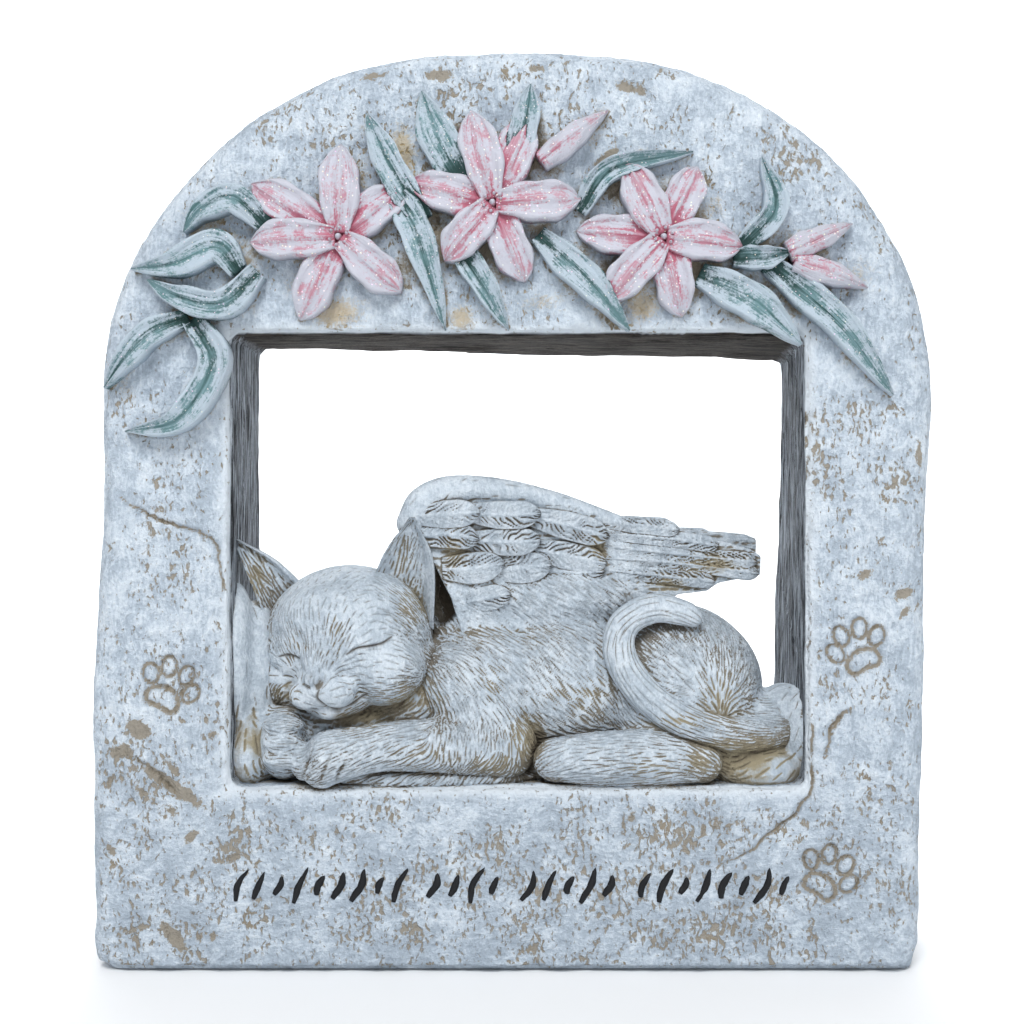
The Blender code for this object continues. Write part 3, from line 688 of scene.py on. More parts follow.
    def gold_and_shadow_spots(self) -> tuple:
        """Returns where the golden stain shows between the leaves, and the painted shadow under the bud near x
        16, z 180.
        """
        return ((-23.8, 176.5, 3.4, 8, 1.0), (-37.8, 142.5, 6, 4, 1.0), (-63, 158.5, 5, 3.4, 0.9),
                (-11, 141.5, 3, 4, 0.9), (28, 143.6, 6, 5, 0.9), (43.8, 165.8, 3.5, 4, 0.6),
                (73.9, 151, 5, 3.5, 0.6), (5.2, 144.9, 6, 2.6, 0.7), (-84, 128, 3, 4, 0.6),
                (-44, 148, 8, 3, 0.6), (16, 180, 5, 4, 0.5), (-35, 166, 3, 9, 0.6))

    def build(self) -> Surface:
        """Makes the slab's piece, carved and painted."""
        item = piece("stone_slab", self.solid())
        cutter = piece("window_cutter", self.opening())
        boolean = item.modifiers.new("Window", "BOOLEAN")
        boolean.object = cutter
        boolean.solver = "EXACT"
        settled(item)
        exact = bpy.data.objects.new("exact_slab", item.data.copy())
        remesh = item.modifiers.new("Even", "REMESH")
        remesh.mode = "VOXEL"
        remesh.voxel_size = self.voxel * MM
        settled(item)
        bpy.data.objects.remove(cutter, do_unlink=True)
        refine(item, lambda face: face.calc_center_median().y / MM < FRONT_Y + 16
               and (face.normal.y < -0.2 or self.in_window(face)))
        strokes = Strokes(step=0.3)
        for path, width, depth in self.prints():
            strokes.add(path, width, depth, 0.0)
        for path in self.cracks():
            strokes.add(path, 0.4, 1.0)
        tree = KDTree(len(strokes.places))
        for i, place in enumerate(strokes.places):
            tree.insert(place, i)
        tree.balance()
        refine(item, lambda face: face.normal.y < -0.7
               and tree.find(face.calc_center_median() / MM)[2] < 1.6)
        wrap = item.modifiers.new("Exact", "SHRINKWRAP")
        wrap.target = exact
        settled(item)
        bpy.data.objects.remove(exact, do_unlink=True)
        item.data.shade_smooth()
        surface = Surface(item)
        self.carve(surface, strokes)
        return surface

    @staticmethod
    def in_window(face: bmesh.types.BMFace) -> bool:
        """Says whether a face is one of the window's walls."""
        centre = face.calc_center_median() / MM
        return (abs(centre.x - WINDOW_OFFSET) < WINDOW_WIDTH / 2 + 3
                and SILL_HEIGHT - 3 < centre.z < WINDOW_TOP + 3)

    def carve(self, surface: Surface, strokes: Strokes) -> None:
        """Gives the faces their relief and paints what has to do with it."""
        points, normals = surface.points, surface.normals
        x, z = points[:, 0], points[:, 2]
        face = smoothstep(0.5, 0.95, -normals[:, 1]) * (points[:, 1] < FRONT_Y + 2)
        rough = np.array([noise.fractal(Vector((row[0] / 9, row[1] / 9, row[2] / 14)), 0.8, 2.1, 3)
                          for row in points]).clip(-1, 1)
        fine = np.array([noise.fractal(Vector((row[0] / 2.6, row[1] / 2.6, row[2] / 4.2)), 0.8, 2.0, 2)
                         if share > 0 else 0.0 for row, share in zip(points, face)])
        warp = np.array([noise.noise(Vector((row[0] / 1.3, 3.7, row[2] / 1.3))) if share > 0 else 0.0
                         for row, share in zip(points, face)])
        bare = np.full(len(points), -3.0)
        for cx, cz, long, wide, turn in self.chips():
            run, rise = math.cos(math.radians(turn)), math.sin(math.radians(turn))
            u = (x - cx) * run + (z - cz) * rise
            v = (z - cz) * run - (x - cx) * rise
            away = 1 - np.sqrt((u / long) ** 2 + (v / wide) ** 2)
            bare = np.maximum(bare, away * min(long, wide) + 0.5 * warp + 0.4 * fine)
        depth, share = strokes.field(points)
        sunk = 0.35 * smoothstep(-0.1, 0.25, bare) + depth
        ridge = 0.22 * np.exp(-((bare + 0.5) / 0.3) ** 2)
        plain = 1 - 0.6 * np.exp(-((z - Inscription.row_height) / 7) ** 2)
        lumpy = (0.85 * rough + 0.6 * fine) * plain
        height = lumpy + ridge - sunk
        moves = normals * (0.4 * (rough - 1) * (1 - face))[:, None]
        moves[:, 1] -= face * height
        gap = np.maximum(np.abs(x - WINDOW_OFFSET) - WINDOW_WIDTH / 2,
                         np.abs(z - SILL_HEIGHT - WINDOW_HEIGHT / 2) - WINDOW_HEIGHT / 2)
        flaky = np.exp(-((gap - 0.8) / 1.5) ** 2) * (points[:, 1] < FRONT_Y + 2.5)
        crumble = np.array([noise.fractal(Vector((row[0] / 3.1, row[1] / 3.1, row[2] / 3.1)), 0.7, 2.2, 3)
                            if share > 0.02 else 0.0 for row, share in zip(points, flaky)])
        moves[:, 1] += flaky * (0.5 + 0.7 * crumble)
        walls = self.walls(points, normals)
        grain = np.array([noise.fractal(Vector((row[0] * wide, row[1] / 1.6, row[2] * tall)), 0.8, 2, 3)
                          if wall > 0 else 0.0 for row, wall, wide, tall in
                          zip(points, walls, np.where(np.abs(normals[:, 0]) > 0.5, 1 / 1.6, 1 / 16),
                              np.where(np.abs(normals[:, 0]) > 0.5, 1 / 16, 1 / 1.6))])
        moves += normals * (walls * (0.45 * grain - 0.3 * rough))[:, None]
        moves[points[:, 2] < 0.6] = 0
        surface.shift(moves)
        surface.paint(Field.BARE, np.maximum(bare, 0.9 * (share - 0.5)) * face - 3 * (1 - face))
        surface.paint(Field.CUT, share * face)
        surface.paint(Field.WORN, (soft_spots(x, z, self.worn_spots()) - 0.7 * lumpy) * face)
        surface.paint(Field.RIM, flaky * (1 - walls))
        # Golden stain between the leaves, and painted shadow under a bud.
        surface.paint(Field.GOLD_AND_SHADOW, soft_spots(x, z, self.gold_and_shadow_spots()) * face)
        surface.paint(Field.REVEAL, walls)
        surface.paint(Field.JAMB, (np.abs(normals[:, 0]) > 0.5).astype(float))

    @staticmethod
    def walls(points: np.ndarray, normals: np.ndarray) -> np.ndarray:
        """Returns how far each point belongs to the window's walls, from nought to one."""
        inside = ((np.abs(points[:, 0] - WINDOW_OFFSET) < WINDOW_WIDTH / 2 + 3.5)
                  & (points[:, 2] > SILL_HEIGHT - 3) & (points[:, 2] < WINDOW_TOP + 3.5))
        deep = smoothstep(1.0, 2.2, points[:, 1] - FRONT_Y) * smoothstep(0.7, 0.5, np.abs(normals[:, 1]))
        return inside * deep * (normals[:, 2] < 0.5)


# The flowers

@dataclass
class Spray:
    """The lilies, their buds and their leaves, which stand on the slab's face."""

    proud: float = 7.0
    root: float = 1.2
    petal_length: float = 18.6
    petal_half: float = 4.25
    petal_keel: float = 0.9
    bud_length: float = 16.0
    bud_half: float = 2.7

    @staticmethod
    def lintel(across: float, up: float) -> Vector:
        """Returns a place on the face given as shares of its width and of the lintel."""
        return Vector((SLAB_WIDTH * across, 0, WINDOW_TOP + LINTEL_HEIGHT * up))

    def blade(self, mesh: bmesh.types.BMesh, path: Sequence[Vector], half: float, start: float,
              profile: Callable[[float, float], float], grid: tuple[int, int] = (18, 40),
              full: float = 0.8) -> None:
        """Adds a petal or leaf along a path of (x, height above the face, z).

        Args:
            mesh: The bmesh to add to.
            path: Points from the base to the tip.
            half: The greatest half width.
            start: How far along its swelling the base begins.
            profile: The height over the path at a place across, from -1 to 1, and along.
            grid: How many cells it has across and along.
            full: How full its ends are: less is fuller.
        """
        layers = {what: mesh.verts.layers.float.get(what.value) or mesh.verts.layers.float.new(what.value)
                  for what in (Field.EDGE, Field.ALONG, Field.TONE)}
        made = bmesh.ops.create_grid(mesh, x_segments=grid[0], y_segments=grid[1], size=1)["verts"]
        line = spline(path, grid[1] + 1)
        tone = noise.random()
        twist = 0.9 * (tone - 0.5)
        for vert in made:
            step = round((vert.co.y + 1) / 2 * grid[1])
            side, along = vert.co.x, step / grid[1]
            ahead = line[min(step + 1, grid[1])] - line[max(step - 1, 0)]
            across = Vector((ahead.z, 0, -ahead.x)).normalized()
            swell = max(0.05, math.sin(math.pi * min(1.0, start + (1 - start) * along)) ** full)
            ripple = 1 + 0.07 * math.sin(7 * along + 5 * tone + side) + 0.05 * math.sin(19 * along + 9 * side)
            vert.co = line[step] + across * side * half * swell * ripple
            vert.co.y += (profile(side, along) + min(0.0, twist * side)) * min(1.0, swell * 1.4)
            vert.co.y += 0.12 * noise.noise(vert.co / 1.1)
            vert[layers[Field.EDGE]], vert[layers[Field.ALONG]], vert[layers[Field.TONE]] = side, along, tone
        faces = list({face for vert in made for face in vert.link_faces})
        pulled = bmesh.ops.extrude_face_region(mesh, geom=faces, use_keep_orig=True)["geom"]
        low = [part for part in pulled if isinstance(part, bmesh.types.BMVert)]
        for vert in low:
            vert.co.y = -self.root
        for vert in made + low:
            vert.co.y = FRONT_Y - vert.co.y

    def petal(self, side: float, along: float) -> float:
        """Returns a petal's section: raised rims, a hollow on each side and a midrib."""
        rim = 0.6 * math.exp(-((abs(side) - 0.86) / 0.15) ** 2)
        rib = 0.5 * math.exp(-(side / 0.12) ** 2) * (1 - 0.6 * along)
        valley = -0.75 * math.exp(-((abs(side) - 0.42) / 0.3) ** 2) * math.sin(math.pi * along) ** 0.5
        return valley + rim + rib - 0.5 * abs(side) ** 8

    def leaf(self, side: float, along: float) -> float:
        """Returns a leaf's section: a deep fold in the middle and long ribs."""
        ribs = 0.22 * math.cos(side * 17 + 2.5 * along)
        fold = -1.0 * (1 - abs(side)) + 0.7 * math.exp(-((abs(side) - 0.86) / 0.13) ** 2)
        return fold + ribs * (1 - along * 0.4) - 0.45 * math.exp(-((side - 0.08) / 0.1) ** 2)

    def lily(self, name: str, across: float, up: float, petals: Sequence[tuple[float, float]]) -> Surface:
        """Makes a lily with petals at the given angles, in degrees, and lengths, as shares."""
        centre = self.lintel(across, up)
        mesh = bmesh.new()
        for i, (turn, long) in enumerate(petals):
            angle = math.radians(turn)
            out = Vector((math.cos(angle), 0, math.sin(angle)))
            reach = self.petal_length * long
            crest = self.proud - self.petal_keel - (1.4 if i % 2 else 0.0)
            heights = ((0.04, crest - 1.6), (0.45, crest), (0.8, crest - 1.3), (1.0, crest - 3.4))
            path = [centre + out * reach * share + Vector((0, high, 0)) for share, high in heights]
            self.blade(mesh, path, self.petal_half, 0.16, self.petal)
        self.heart(mesh, centre)
        return Surface(piece(name, mesh))

    def heart(self, mesh: bmesh.types.BMesh, centre: Vector) -> None:
        """Adds the stamens: a knob and a ring of small ones."""
        edge, along = (mesh.verts.layers.float[what.value] for what in (Field.EDGE, Field.ALONG))
        knobs = [(0.0, 0.0, 0.8, self.proud - 1.6)]
        for i in range(6):
            angle = math.radians(60 * i + 20)
            knobs.append((1.9 * math.cos(angle), 1.9 * math.sin(angle), 0.5, self.proud - 2.0))
        for x, z, radius, high in knobs:
            place = Matrix.Translation((centre.x + x, FRONT_Y - high / 2, centre.z + z))
            place = place @ Matrix.Diagonal((radius, high / 2 + 0.8, radius, 1))
            made = bmesh.ops.create_icosphere(mesh, subdivisions=3, radius=1, matrix=place)
            for vert in made["verts"]:
                vert[edge], vert[along] = 0.6, 0.9

    def lilies(self) -> list[Surface]:
        """Makes the three lilies."""
        return [
            self.lily("lily_left", -0.204, 0.327, ((89, 1.08), (148, 1.20), (183, 1.03), (244, 1.05),
                                                   (319, 0.95), (38, 0.97))),
            self.lily("lily_middle", -0.023, 0.442, ((103, 1.10), (67, 1.12), (3, 1.02), (293, 0.97),
                                                     (230, 0.86), (165, 1.0))),
            self.lily("lily_right", 0.178, 0.327, ((116, 0.95), (64, 0.93), (354, 0.92), (284, 0.93),
                                                   (228, 0.96), (175, 1.0)))]

    def buds(self) -> Surface:
        """Makes the three buds."""
        mesh = bmesh.new()
        for across, up, angle, length in ((0.034, 0.582, 38, 1.15), (0.326, 0.278, 24, 0.95),
                                          (0.333, 0.246, -19, 1.05)):
            base = self.lintel(across, up)
            out = Vector((math.cos(math.radians(angle)), 0, math.sin(math.radians(angle))))
            out *= self.bud_length * length
            crest = self.proud - 2.6
            path = [base + Vector((0, crest - 1, 0)), base + out / 2 + Vector((0, crest, 0)),
                    base + out + Vector((0, crest - 2.4, 0))]
            self.blade(mesh, path, self.bud_half, 0.3, lambda side, along: 1.5 * (1 - side ** 2)
                       - 0.5 * math.exp(-((side - 0.1) / 0.1) ** 2))
        return Surface(piece("lily_buds", mesh))

    def leaves(self) -> Surface:
        """Makes the leaves between the lilies and the curling ones at both shoulders."""
        upper = (((-0.105, 0.390), (-0.148, 0.590), (-0.172, 0.751), 3.4),
                 ((-0.050, 0.470), (-0.088, 0.670), (-0.107, 0.826), 4.2),
                 ((0.004, 0.560), (0.016, 0.730), (0.022, 0.850), 3.2),
                 ((0.080, 0.420), (0.118, 0.560), (0.214, 0.620), 2.6),
                 ((0.271, 0.293), (0.310, 0.430), (0.295, 0.603), 2.8))
        lower = (((-0.137, 0.472), (-0.110, 0.330), (-0.079, 0.018), 3.6),
                 ((-0.070, 0.330), (-0.032, 0.160), (-0.004, 0.018), 2.8),
                 ((0.031, 0.341), (0.090, 0.180), (0.139, 0.014), 3.4),
                 ((0.221, 0.204), (0.285, 0.110), (0.342, -0.034), 3.9),
                 ((0.303, 0.245), (0.390, 0.020), (0.450, -0.206), 3.3),
                 ((0.262, 0.259), (0.297, 0.259), (0.329, 0.279), 2.6))
        curled = (((-0.290, 0.365), (-0.328, 0.458), (-0.365, 0.417), (-0.387, 0.345), 3.0),
                  ((-0.323, 0.214), (-0.349, 0.293), (-0.400, 0.235), (-0.449, 0.221), 3.4),
                  ((-0.300, 0.215), (-0.340, 0.100), (-0.390, 0.120), (-0.430, 0.185), 3.2),
                  ((-0.378, 0.052), (-0.350, -0.100), (-0.390, -0.290), (-0.456, -0.330), 3.4),
                  ((-0.383, 0.059), (-0.425, 0.000), (-0.456, -0.090), (-0.481, -0.182), 2.8))
        mesh = bmesh.new()
        for group, crest in ((upper, 4.2), (lower, 4.8), (curled, 5.4)):
            for *shares, half in group:
                path = []
                for i, (across, up) in enumerate(shares):
                    high = crest * (0.55 + 0.45 * math.sin(math.pi * i / (len(shares) - 1)))
                    path.append(self.lintel(across, up) + Vector((0, high, 0)))
                self.blade(mesh, path, half, 0.2, self.leaf, (14, 40))
        return Surface(piece("lily_leaves", mesh))


# The kitten

class Clay:
    """Lumps pressed together in the kitten's frame, before they melt into one skin."""

    def __init__(self) -> None:
        """Starts with nothing."""
        self.mesh = bmesh.new()

    def lump(self, centre: Sequence[float], radii: Sequence[float]) -> None:
        """Adds an egg-shaped lump."""
        place = Matrix.Translation(centre) @ Matrix.Diagonal((*radii, 1))
        bmesh.ops.create_icosphere(self.mesh, subdivisions=4, radius=1, matrix=place)

    def limb(self, path: Sequence[Sequence[float]], count: int) -> None:
        """Adds a row of round lumps along a path of (x, depth, z, radius)."""
        for x, depth, z, radius in spline(path, count):
            place = Matrix.Translation((x, depth, z)) @ Matrix.Scale(radius, 4)
            bmesh.ops.create_icosphere(self.mesh, subdivisions=3, radius=1, matrix=place)

    def settle(self) -> bmesh.types.BMesh:
        """Moves the lumps to their place on the sill and hands them over."""
        for vert in self.mesh.verts:
            vert.co = settle(vert.co)
        return self.mesh


def faces_front(face: bmesh.types.BMFace) -> bool:
    """Says whether a face can be seen from the front and lies outside the slab."""
    x, z = unsettle(face.calc_center_median() / MM)
    return face.normal.y < -0.1 and z > -0.3 and abs(x) < 62.5


def chest_shows(face: bmesh.types.BMFace) -> bool:
    """Says whether a face of the chest can be seen between the head, the legs and the haunch."""
    x, z = unsettle(face.calc_center_median() / MM)
    return faces_front(face) and ((-32 < x < 24 and z > 7) or x < -50 or z < 4)


@dataclass
class Trunk:
    """The kitten's trunk, haunch and legs, and the resin that ties them to the window."""

    chest_voxel: float = 0.67
    voxel: float = 0.6
    comb: Comb = Comb()

    @staticmethod
    def chest() -> Clay:
        """Presses the chest and belly together, and what joins them to the window."""
        clay = Clay()
        for centre, radii in (((-7, 21, 18), (19, 17, 19)), ((11, 22, 20), (24, 17, 19)),
                              ((-24, 19, 18), (14, 13, 15)), ((-8, 13, 18), (13, 9, 15)),
                              ((-20, 19, 2), (27, 13, 6)), ((-63.2, 10.5, 27), (4.6, 7.5, 17)),
                              ((-52, 14, 8), (9, 10, 9)), ((-58.8, 15.5, 24), (5.5, 8, 16)),
                              ((-60, 12, 6), (6, 9, 9)), ((-22, 10, 0.6), (27, 8.6, 3.2)),
                              ((-37, 19, 13), (15, 12, 9)), ((-8, 17, 41), (14, 6, 14)),
                              ((10, 16, 40), (18, 6, 8))):
            clay.lump(centre, radii)
        return clay

    @staticmethod
    def haunch() -> Clay:
        """Presses the haunch and the hind foot together."""
        clay = Clay()
        for centre, radii in (((36, 17, 18.5), (19.5, 14.5, 20.3)), ((37, 25, 19), (20, 14, 18.5)),
                              ((48, 16, 9), (10, 11, 10)), ((25, 19, 2), (34, 14, 6)),
                              ((55, 18, 9.0), (9, 11, 10.5)), ((66.5, 14, 9.5), (9, 10, 11.5)),
                              ((60.5, 17, 11.0), (7.5, 9.5, 9.6)),
                              ((24, 10, 0.6), (20, 8.8, 3.0)), ((54, 12, 2), (11, 9, 6))):
            clay.lump(centre, radii)
        clay.limb(((8.2, 4, 5, 5.0), (16, 3.5, 5.6, 5.6), (26, 3.5, 5.8, 6.0),
                   (34, 4, 5.2, 5.3), (40.5, 5, 4.2, 4.6)), 28)
        return clay

    @staticmethod
    def forelegs() -> Clay:
        """Presses the foreleg and both front paws together."""
        clay = Clay()
        clay.limb(((-3, 7.5, 7.5, 7.4), (-14, 5, 8, 6.6), (-24, 3.5, 8.2, 5.8),
                   (-33, 2.5, 7.6, 5.4), (-41, 1.6, 6, 6.0)), 30)
        clay.limb(((-4, 8.5, 8.5, 7.4), (-8, 10.0, 14.0, 8.8), (-13, 12.5, 21.0, 10.0)), 14)
        clay.lump((-42.8, 0.6, 3.8), (4.6, 3.8, 4.6))
        clay.lump((-47.2, 2.6, 4.6), (2.6, 3.4, 4.0))
        clay.lump((-52, 8, 8), (6, 6, 8))
        for i in range(3):
            clay.lump((-51.6, 3.2, 12.8 - 3.7 * i), (4.8, 3.8, 2.2))
        return clay

    def coat(self) -> Coat:
        """Returns how the hair lies: down the flank, round the elbow and out of the haunch."""
        lies = [(-12, 30, -40), (0, 36, -35), (10, 38, -32), (20, 38, -38), (-5, 25, -42),
                (8, 28, -45), (18, 25, -48), (20, 15, -50), (8, 15, -45), (-5, 17, -52),
                (-15, 22, -45), (-20, 28, -35), (-12, 14, -65), (-16, 9.4, -95),
                (-22.3, 3.9, -140), (-9.6, 9, -98), (-7, 4.4, -125), (-3, 9, -85),
                (-28, 6, -155), (-34, 8, -157), (-38, 5, -160), (-24, 11, -165), (-44, 3, -150),
                (-51, 12, 180), (-51, 5, 180), (8, 5, 25), (20, 8, 8), (32, 7, -6), (40, 4, -28),
                (20, 2, 14), (30, 2, 6), (-61, 32, 90, 0.0), (-60, 20, 90, 0.0), (-59, 8, 90, 0.1),
                (57, 20, 60, 0.0), (58, 12, 60, 0.0), (56, 5, 40, 0.1)]
        for i in range(10):
            angle = math.radians(20 * i)
            lies.append((44 + 11 * math.cos(angle), 16.5 + 12 * math.sin(angle), 20 * i - 180))
        return Coat(lies)

    @staticmethod
    def pit(surface: Surface) -> None:
        """Sinks the hole between the right ear and the near wing, and paints it dark: painted shade in the gap
        between the wings, over dark paint.
        """
        points = surface.points
        x = (points[:, 0] - WINDOW_OFFSET) / KITTEN_SCALE
        z = (points[:, 2] - SILL_HEIGHT) / KITTEN_SCALE
        across = x + 16.3 + 0.02 * (z - 41) ** 2
        inside = smoothstep(1.0, 0.8, np.sqrt((across / 3.8) ** 2 + ((z - 41) / 7.8) ** 2))
        inside = inside * (surface.normals[:, 1] < 0.3)
        moves = np.zeros((len(points), 3))
        moves[:, 1] = 8 * inside
        surface.shift(moves)
        # The hole's dark colour is painted shade.
        surface.paint(Field.LINE_AND_SHADE, inside)

    def dress(self, name: str, clay: Clay, seed: int) -> Surface:
        """Melts one part's lumps and cuts its hair in."""
        chest = name == "kitten_chest"
        item = melt(name, clay.settle(), self.chest_voxel if chest else self.voxel, 6)
        refine(item, chest_shows if chest else faces_front)
        surface = Surface(item)
        if chest:
            self.pit(surface)
        comb_out(surface, self.coat(), self.comb, seed)
        return surface

    def build(self) -> list[Surface]:
        """Makes the trunk's three pieces, with their hair and toes cut in."""
        chest = self.dress("kitten_chest", self.chest(), 11)
        haunch = self.dress("kitten_haunch", self.haunch(), 13)
        forelegs = self.dress("kitten_forelegs", self.forelegs(), 17)
        toes = Strokes()
        tree = forelegs.tree()
        for points in (((-44.4, 8.4), (-45.6, 5.5), (-46.9, 2.0)), ((-40.2, 7.6), (-41.8, 4.0), (-43.2, 0.4)),
                       ((-37.4, 5.6), (-38.6, 3.2), (-39.6, 0.8))):
            toes.add(project(tree, points, 14), 0.42, 0.6)
        depth, share = toes.field(forelegs.points)
        forelegs.shift(-forelegs.normals * depth[:, None])
        forelegs.paint(Field.LINE_AND_SHADE, 0.45 * share)
        return [chest, haunch, forelegs]


@dataclass
class Tail:
    """The tail, which sweeps along the sill and curls up over the haunch."""

    path: tuple = ((65, 14, 11.5, 4.6), (51, 6.8, 10, 4.1), (37.5, 4.2, 13.2, 4.0),
                   (28, 4.6, 19.5, 3.9), (22.6, 5.4, 27.5, 3.7), (23.4, 6.4, 34.5, 3.5),
                   (29.8, 6.6, 38.2, 3.4), (36.5, 6.2, 37.2, 2.9), (38.6, 6.0, 36.2, 2.3))
    comb: Comb = Comb(length=6.5, pitch=0.55, width=0.19, waver=4.0, depth=0.36)

    def build(self) -> Surface:
        """Makes the tail's piece, with its hair running along it."""
        clay = Clay()
        clay.limb(self.path, 110)
        item = melt("kitten_tail", clay.settle(), 0.5, 3)
        refine(item, faces_front)
        line = spline(self.path, 40)
        lies = [(a.x, a.z, math.degrees(math.atan2(b.z - a.z, b.x - a.x)), 0.55 if a.z > 14 else 1.0)
                for a, b in zip(line, line[1:])]
        surface = Surface(item)
        comb_out(surface, Coat(lies), self.comb, 23)
        return surface


@dataclass
class Head:
    """The sleeping head, with its eyes shut, its nose and its mouth."""

    centre: tuple = (-38.8, 16.4, 30.7)
    turn: Euler = field(default_factory=lambda: Euler((math.radians(12), math.radians(-7),
                                                       math.radians(-22)), "XYZ"))
    comb: Comb = Comb(length=3.1, pitch=0.54, width=0.2, depth=0.42, waver=9.0)

    def lumps(self) -> list[tuple]:
        """Returns the lumps in the head's own frame: x to its left, y out of its face, z up."""
        lumps = [((0, 0, 0), (20, 17, 16.8)), ((0, 8, 6), (13, 8.5, 9)), ((0, 14, -0.5), (4.2, 4.6, 6)),
                 ((0, 13.5, -6.5), (7, 6.5, 5.2)), ((0, 18.7, -3.6), (2.6, 1.9, 1.8)),
                 ((0.3, 14.4, -12.2), (3.6, 3.0, 2.2)), ((0, 9, -10.5), (9, 8, 5))]
        for side in (-1, 1):
            lumps += [((side * 11, 6, -6), (9.5, 9, 8.5)), ((side * 13, 0, -7), (8, 9, 8)),
                      ((side * 3.7, 16.2, -7.8), (4.4, 3.4, 3.5)),
                      ((side * 8.4, 12.4, 0.6), (5.2, 3.2, 3.6))]
        return lumps

    def place(self, point: Vector) -> Vector:
        """Turns a point of the head's own frame to the kitten's frame."""
        turned = Vector((point.x, -point.y, point.z))
        turned.rotate(self.turn)
        return turned + Vector(self.centre)

    def coat(self) -> Coat:
        """Returns how the hair lies: fanned out from the nose and sweeping back at the cheeks."""
        return Coat(((-44.7, 25.5, 90, 0.4), (-42.5, 28.5, 72, 1.0), (-40.8, 32.4, 76, 1.0),
                     (-39.5, 30.5, 62, 1.0), (-37.4, 34.9, 64, 0.9), (-48.9, 32.4, 114, 1.0),
                     (-47.5, 29.5, 112, 1.0), (-45.9, 36.6, 100, 0.6), (-52.3, 29.6, 128, 1.0),
                     (-54.4, 34.5, 118, 0.9), (-39.1, 39.2, 72, 0.45), (-33.2, 38.4, 40, 0.12),
                     (-33.5, 34.0, 35, 0.15), (-29.5, 38.4, 0, 0.5), (-26.8, 36.7, -25, 1.0),
                     (-25.9, 41.8, -38, 1.0), (-22.5, 31.6, -15, 1.0), (-21.2, 27.3, -22, 1.0),
                     (-24.6, 21.8, -6, 1.0), (-31.0, 18.8, 8, 1.0), (-33.2, 24.7, 4, 0.6),
                     (-36.6, 25.2, 14, 0.6), (-31.0, 28.0, 4, 0.35), (-26.0, 26.5, -10, 0.25),
                     (-35.7, 14.8, 14, 0.9), (-54.4, 23.8, 180, 0.2), (-54.4, 18.4, -125, 1.0),
                     (-50.2, 19.0, -130, 0.5), (-41.6, 44.4, 85, 0.12), (-48.0, 43.0, 100, 0.15),
                     (-40.0, 19.0, 20, 0.15), (-47.5, 19.0, 160, 0.15), (-42.0, 13.5, 0, 0.2),
                     (-34.0, 45.0, 60, 0.15), (-56.0, 28.5, 160, 0.6), (-42.9, 33.5, 90, 1.0),
                     (-30.5, 42.5, -50, 0.7), (-27.5, 46.0, -62, 0.8), (-23.2, 36.0, -24, 1.0),
                     (-27.8, 20.2, 0, 1.0), (-23.2, 24.2, -12, 1.0)))

    def features(self, tree: BVHTree) -> Strokes:
        """Returns the lines of the eyes, nose and mouth, laid on the face."""
        lines = Strokes()
        for points, width, depth in (
                (((-37.3, 28.6), (-35.0, 29.9), (-32.5, 30.3), (-29.6, 30.9), (-27.5, 32.4)), 0.34, 0.7),
                (((-52.9, 27.6), (-50.4, 27.9), (-47.9, 27.4)), 0.34, 0.7),
                (((-43.3, 20.8), (-43.7, 18.9), (-41.6, 17.0), (-39.1, 16.4), (-36.6, 17.2),
                  (-34.6, 18.7), (-32.9, 19.9)), 0.42, 0.8),
                (((-49.1, 16.8), (-46.6, 16.0), (-44.1, 16.4)), 0.42, 0.7),
                (((-45.6, 13.2), (-43.3, 12.2), (-40.5, 12.4)), 0.38, 0.5)):
            lines.add(project(tree, points, 24), width, depth)
        return lines

    @staticmethod
    def sockets(tree: BVHTree) -> Strokes:
        """Returns the soft hollows of the eyes and beside the muzzle."""
        soft = Strokes(step=0.5)
        for points, width, depth in (
                (((-38.6, 27.6), (-35.6, 28.8), (-32.4, 29.4), (-29.0, 30.2)), 2.3, 0.75),
                (((-53.4, 26.8), (-50.4, 27.0), (-47.4, 26.4)), 2.0, 0.7),
                (((-40.0, 25.6), (-37.6, 23.4), (-35.4, 21.0), (-33.0, 19.8)), 1.7, 0.6),
                (((-48.4, 25.0), (-50.2, 22.4), (-50.8, 19.0)), 1.6, 0.6)):
            soft.add(project(tree, points, 16), width, depth)
        return soft

    def nostrils(self, tree: BVHTree) -> Strokes:
        """Returns the two nostrils and the fold below the nose."""
        pits = Strokes()
        for points, width, depth in ((((-45.4, 24.1), (-45.0, 24.5)), 0.85, 0.8),
                                     (((-43.8, 21.4), (-43.1, 21.8), (-42.4, 22.8)), 0.7, 0.9),
                                     (((-47.1, 22.2), (-46.2, 21.6), (-45.4, 21.4)), 0.5, 0.5)):
            pits.add(project(tree, points, 6), width, depth, 0.0)
        return pits

    def build(self) -> Surface:
        """Makes the head's piece, with its face and its hair cut in."""
        clay = Clay()
        for centre, radii in self.lumps():
            clay.lump(centre, radii)
        for vert in clay.mesh.verts:
            vert.co = self.place(vert.co)
        item = melt("kitten_head", clay.settle(), 0.52, 4)
        refine(item, faces_front)
        surface = Surface(item)
        depth = self.sockets(surface.tree()).field(surface.points)[0]
        surface.shift(-surface.normals * depth[:, None])
        tree = surface.tree()
        lines, pits = self.features(tree), self.nostrils(tree)
        hair = self.comb.draw(surface, self.coat(), 37)
        points = surface.points
        line_depth, line_share = lines.field(points)
        pit_depth, pit_share = pits.field(points)
        hair_depth, hair_share = hair.field(points)
        clear = 1 - np.clip(line_share + pit_share, 0, 1)
        hair_depth, hair_share = hair_depth * clear, hair_share * clear
        surface.shift(-surface.normals * (line_depth + pit_depth + hair_depth)[:, None])
        surface.paint(Field.CUT, np.maximum(hair_share, 0.85 * pit_share))
        surface.paint(Field.LINE_AND_SHADE, line_share)
        lay_hair(surface, self.coat())
        return surface


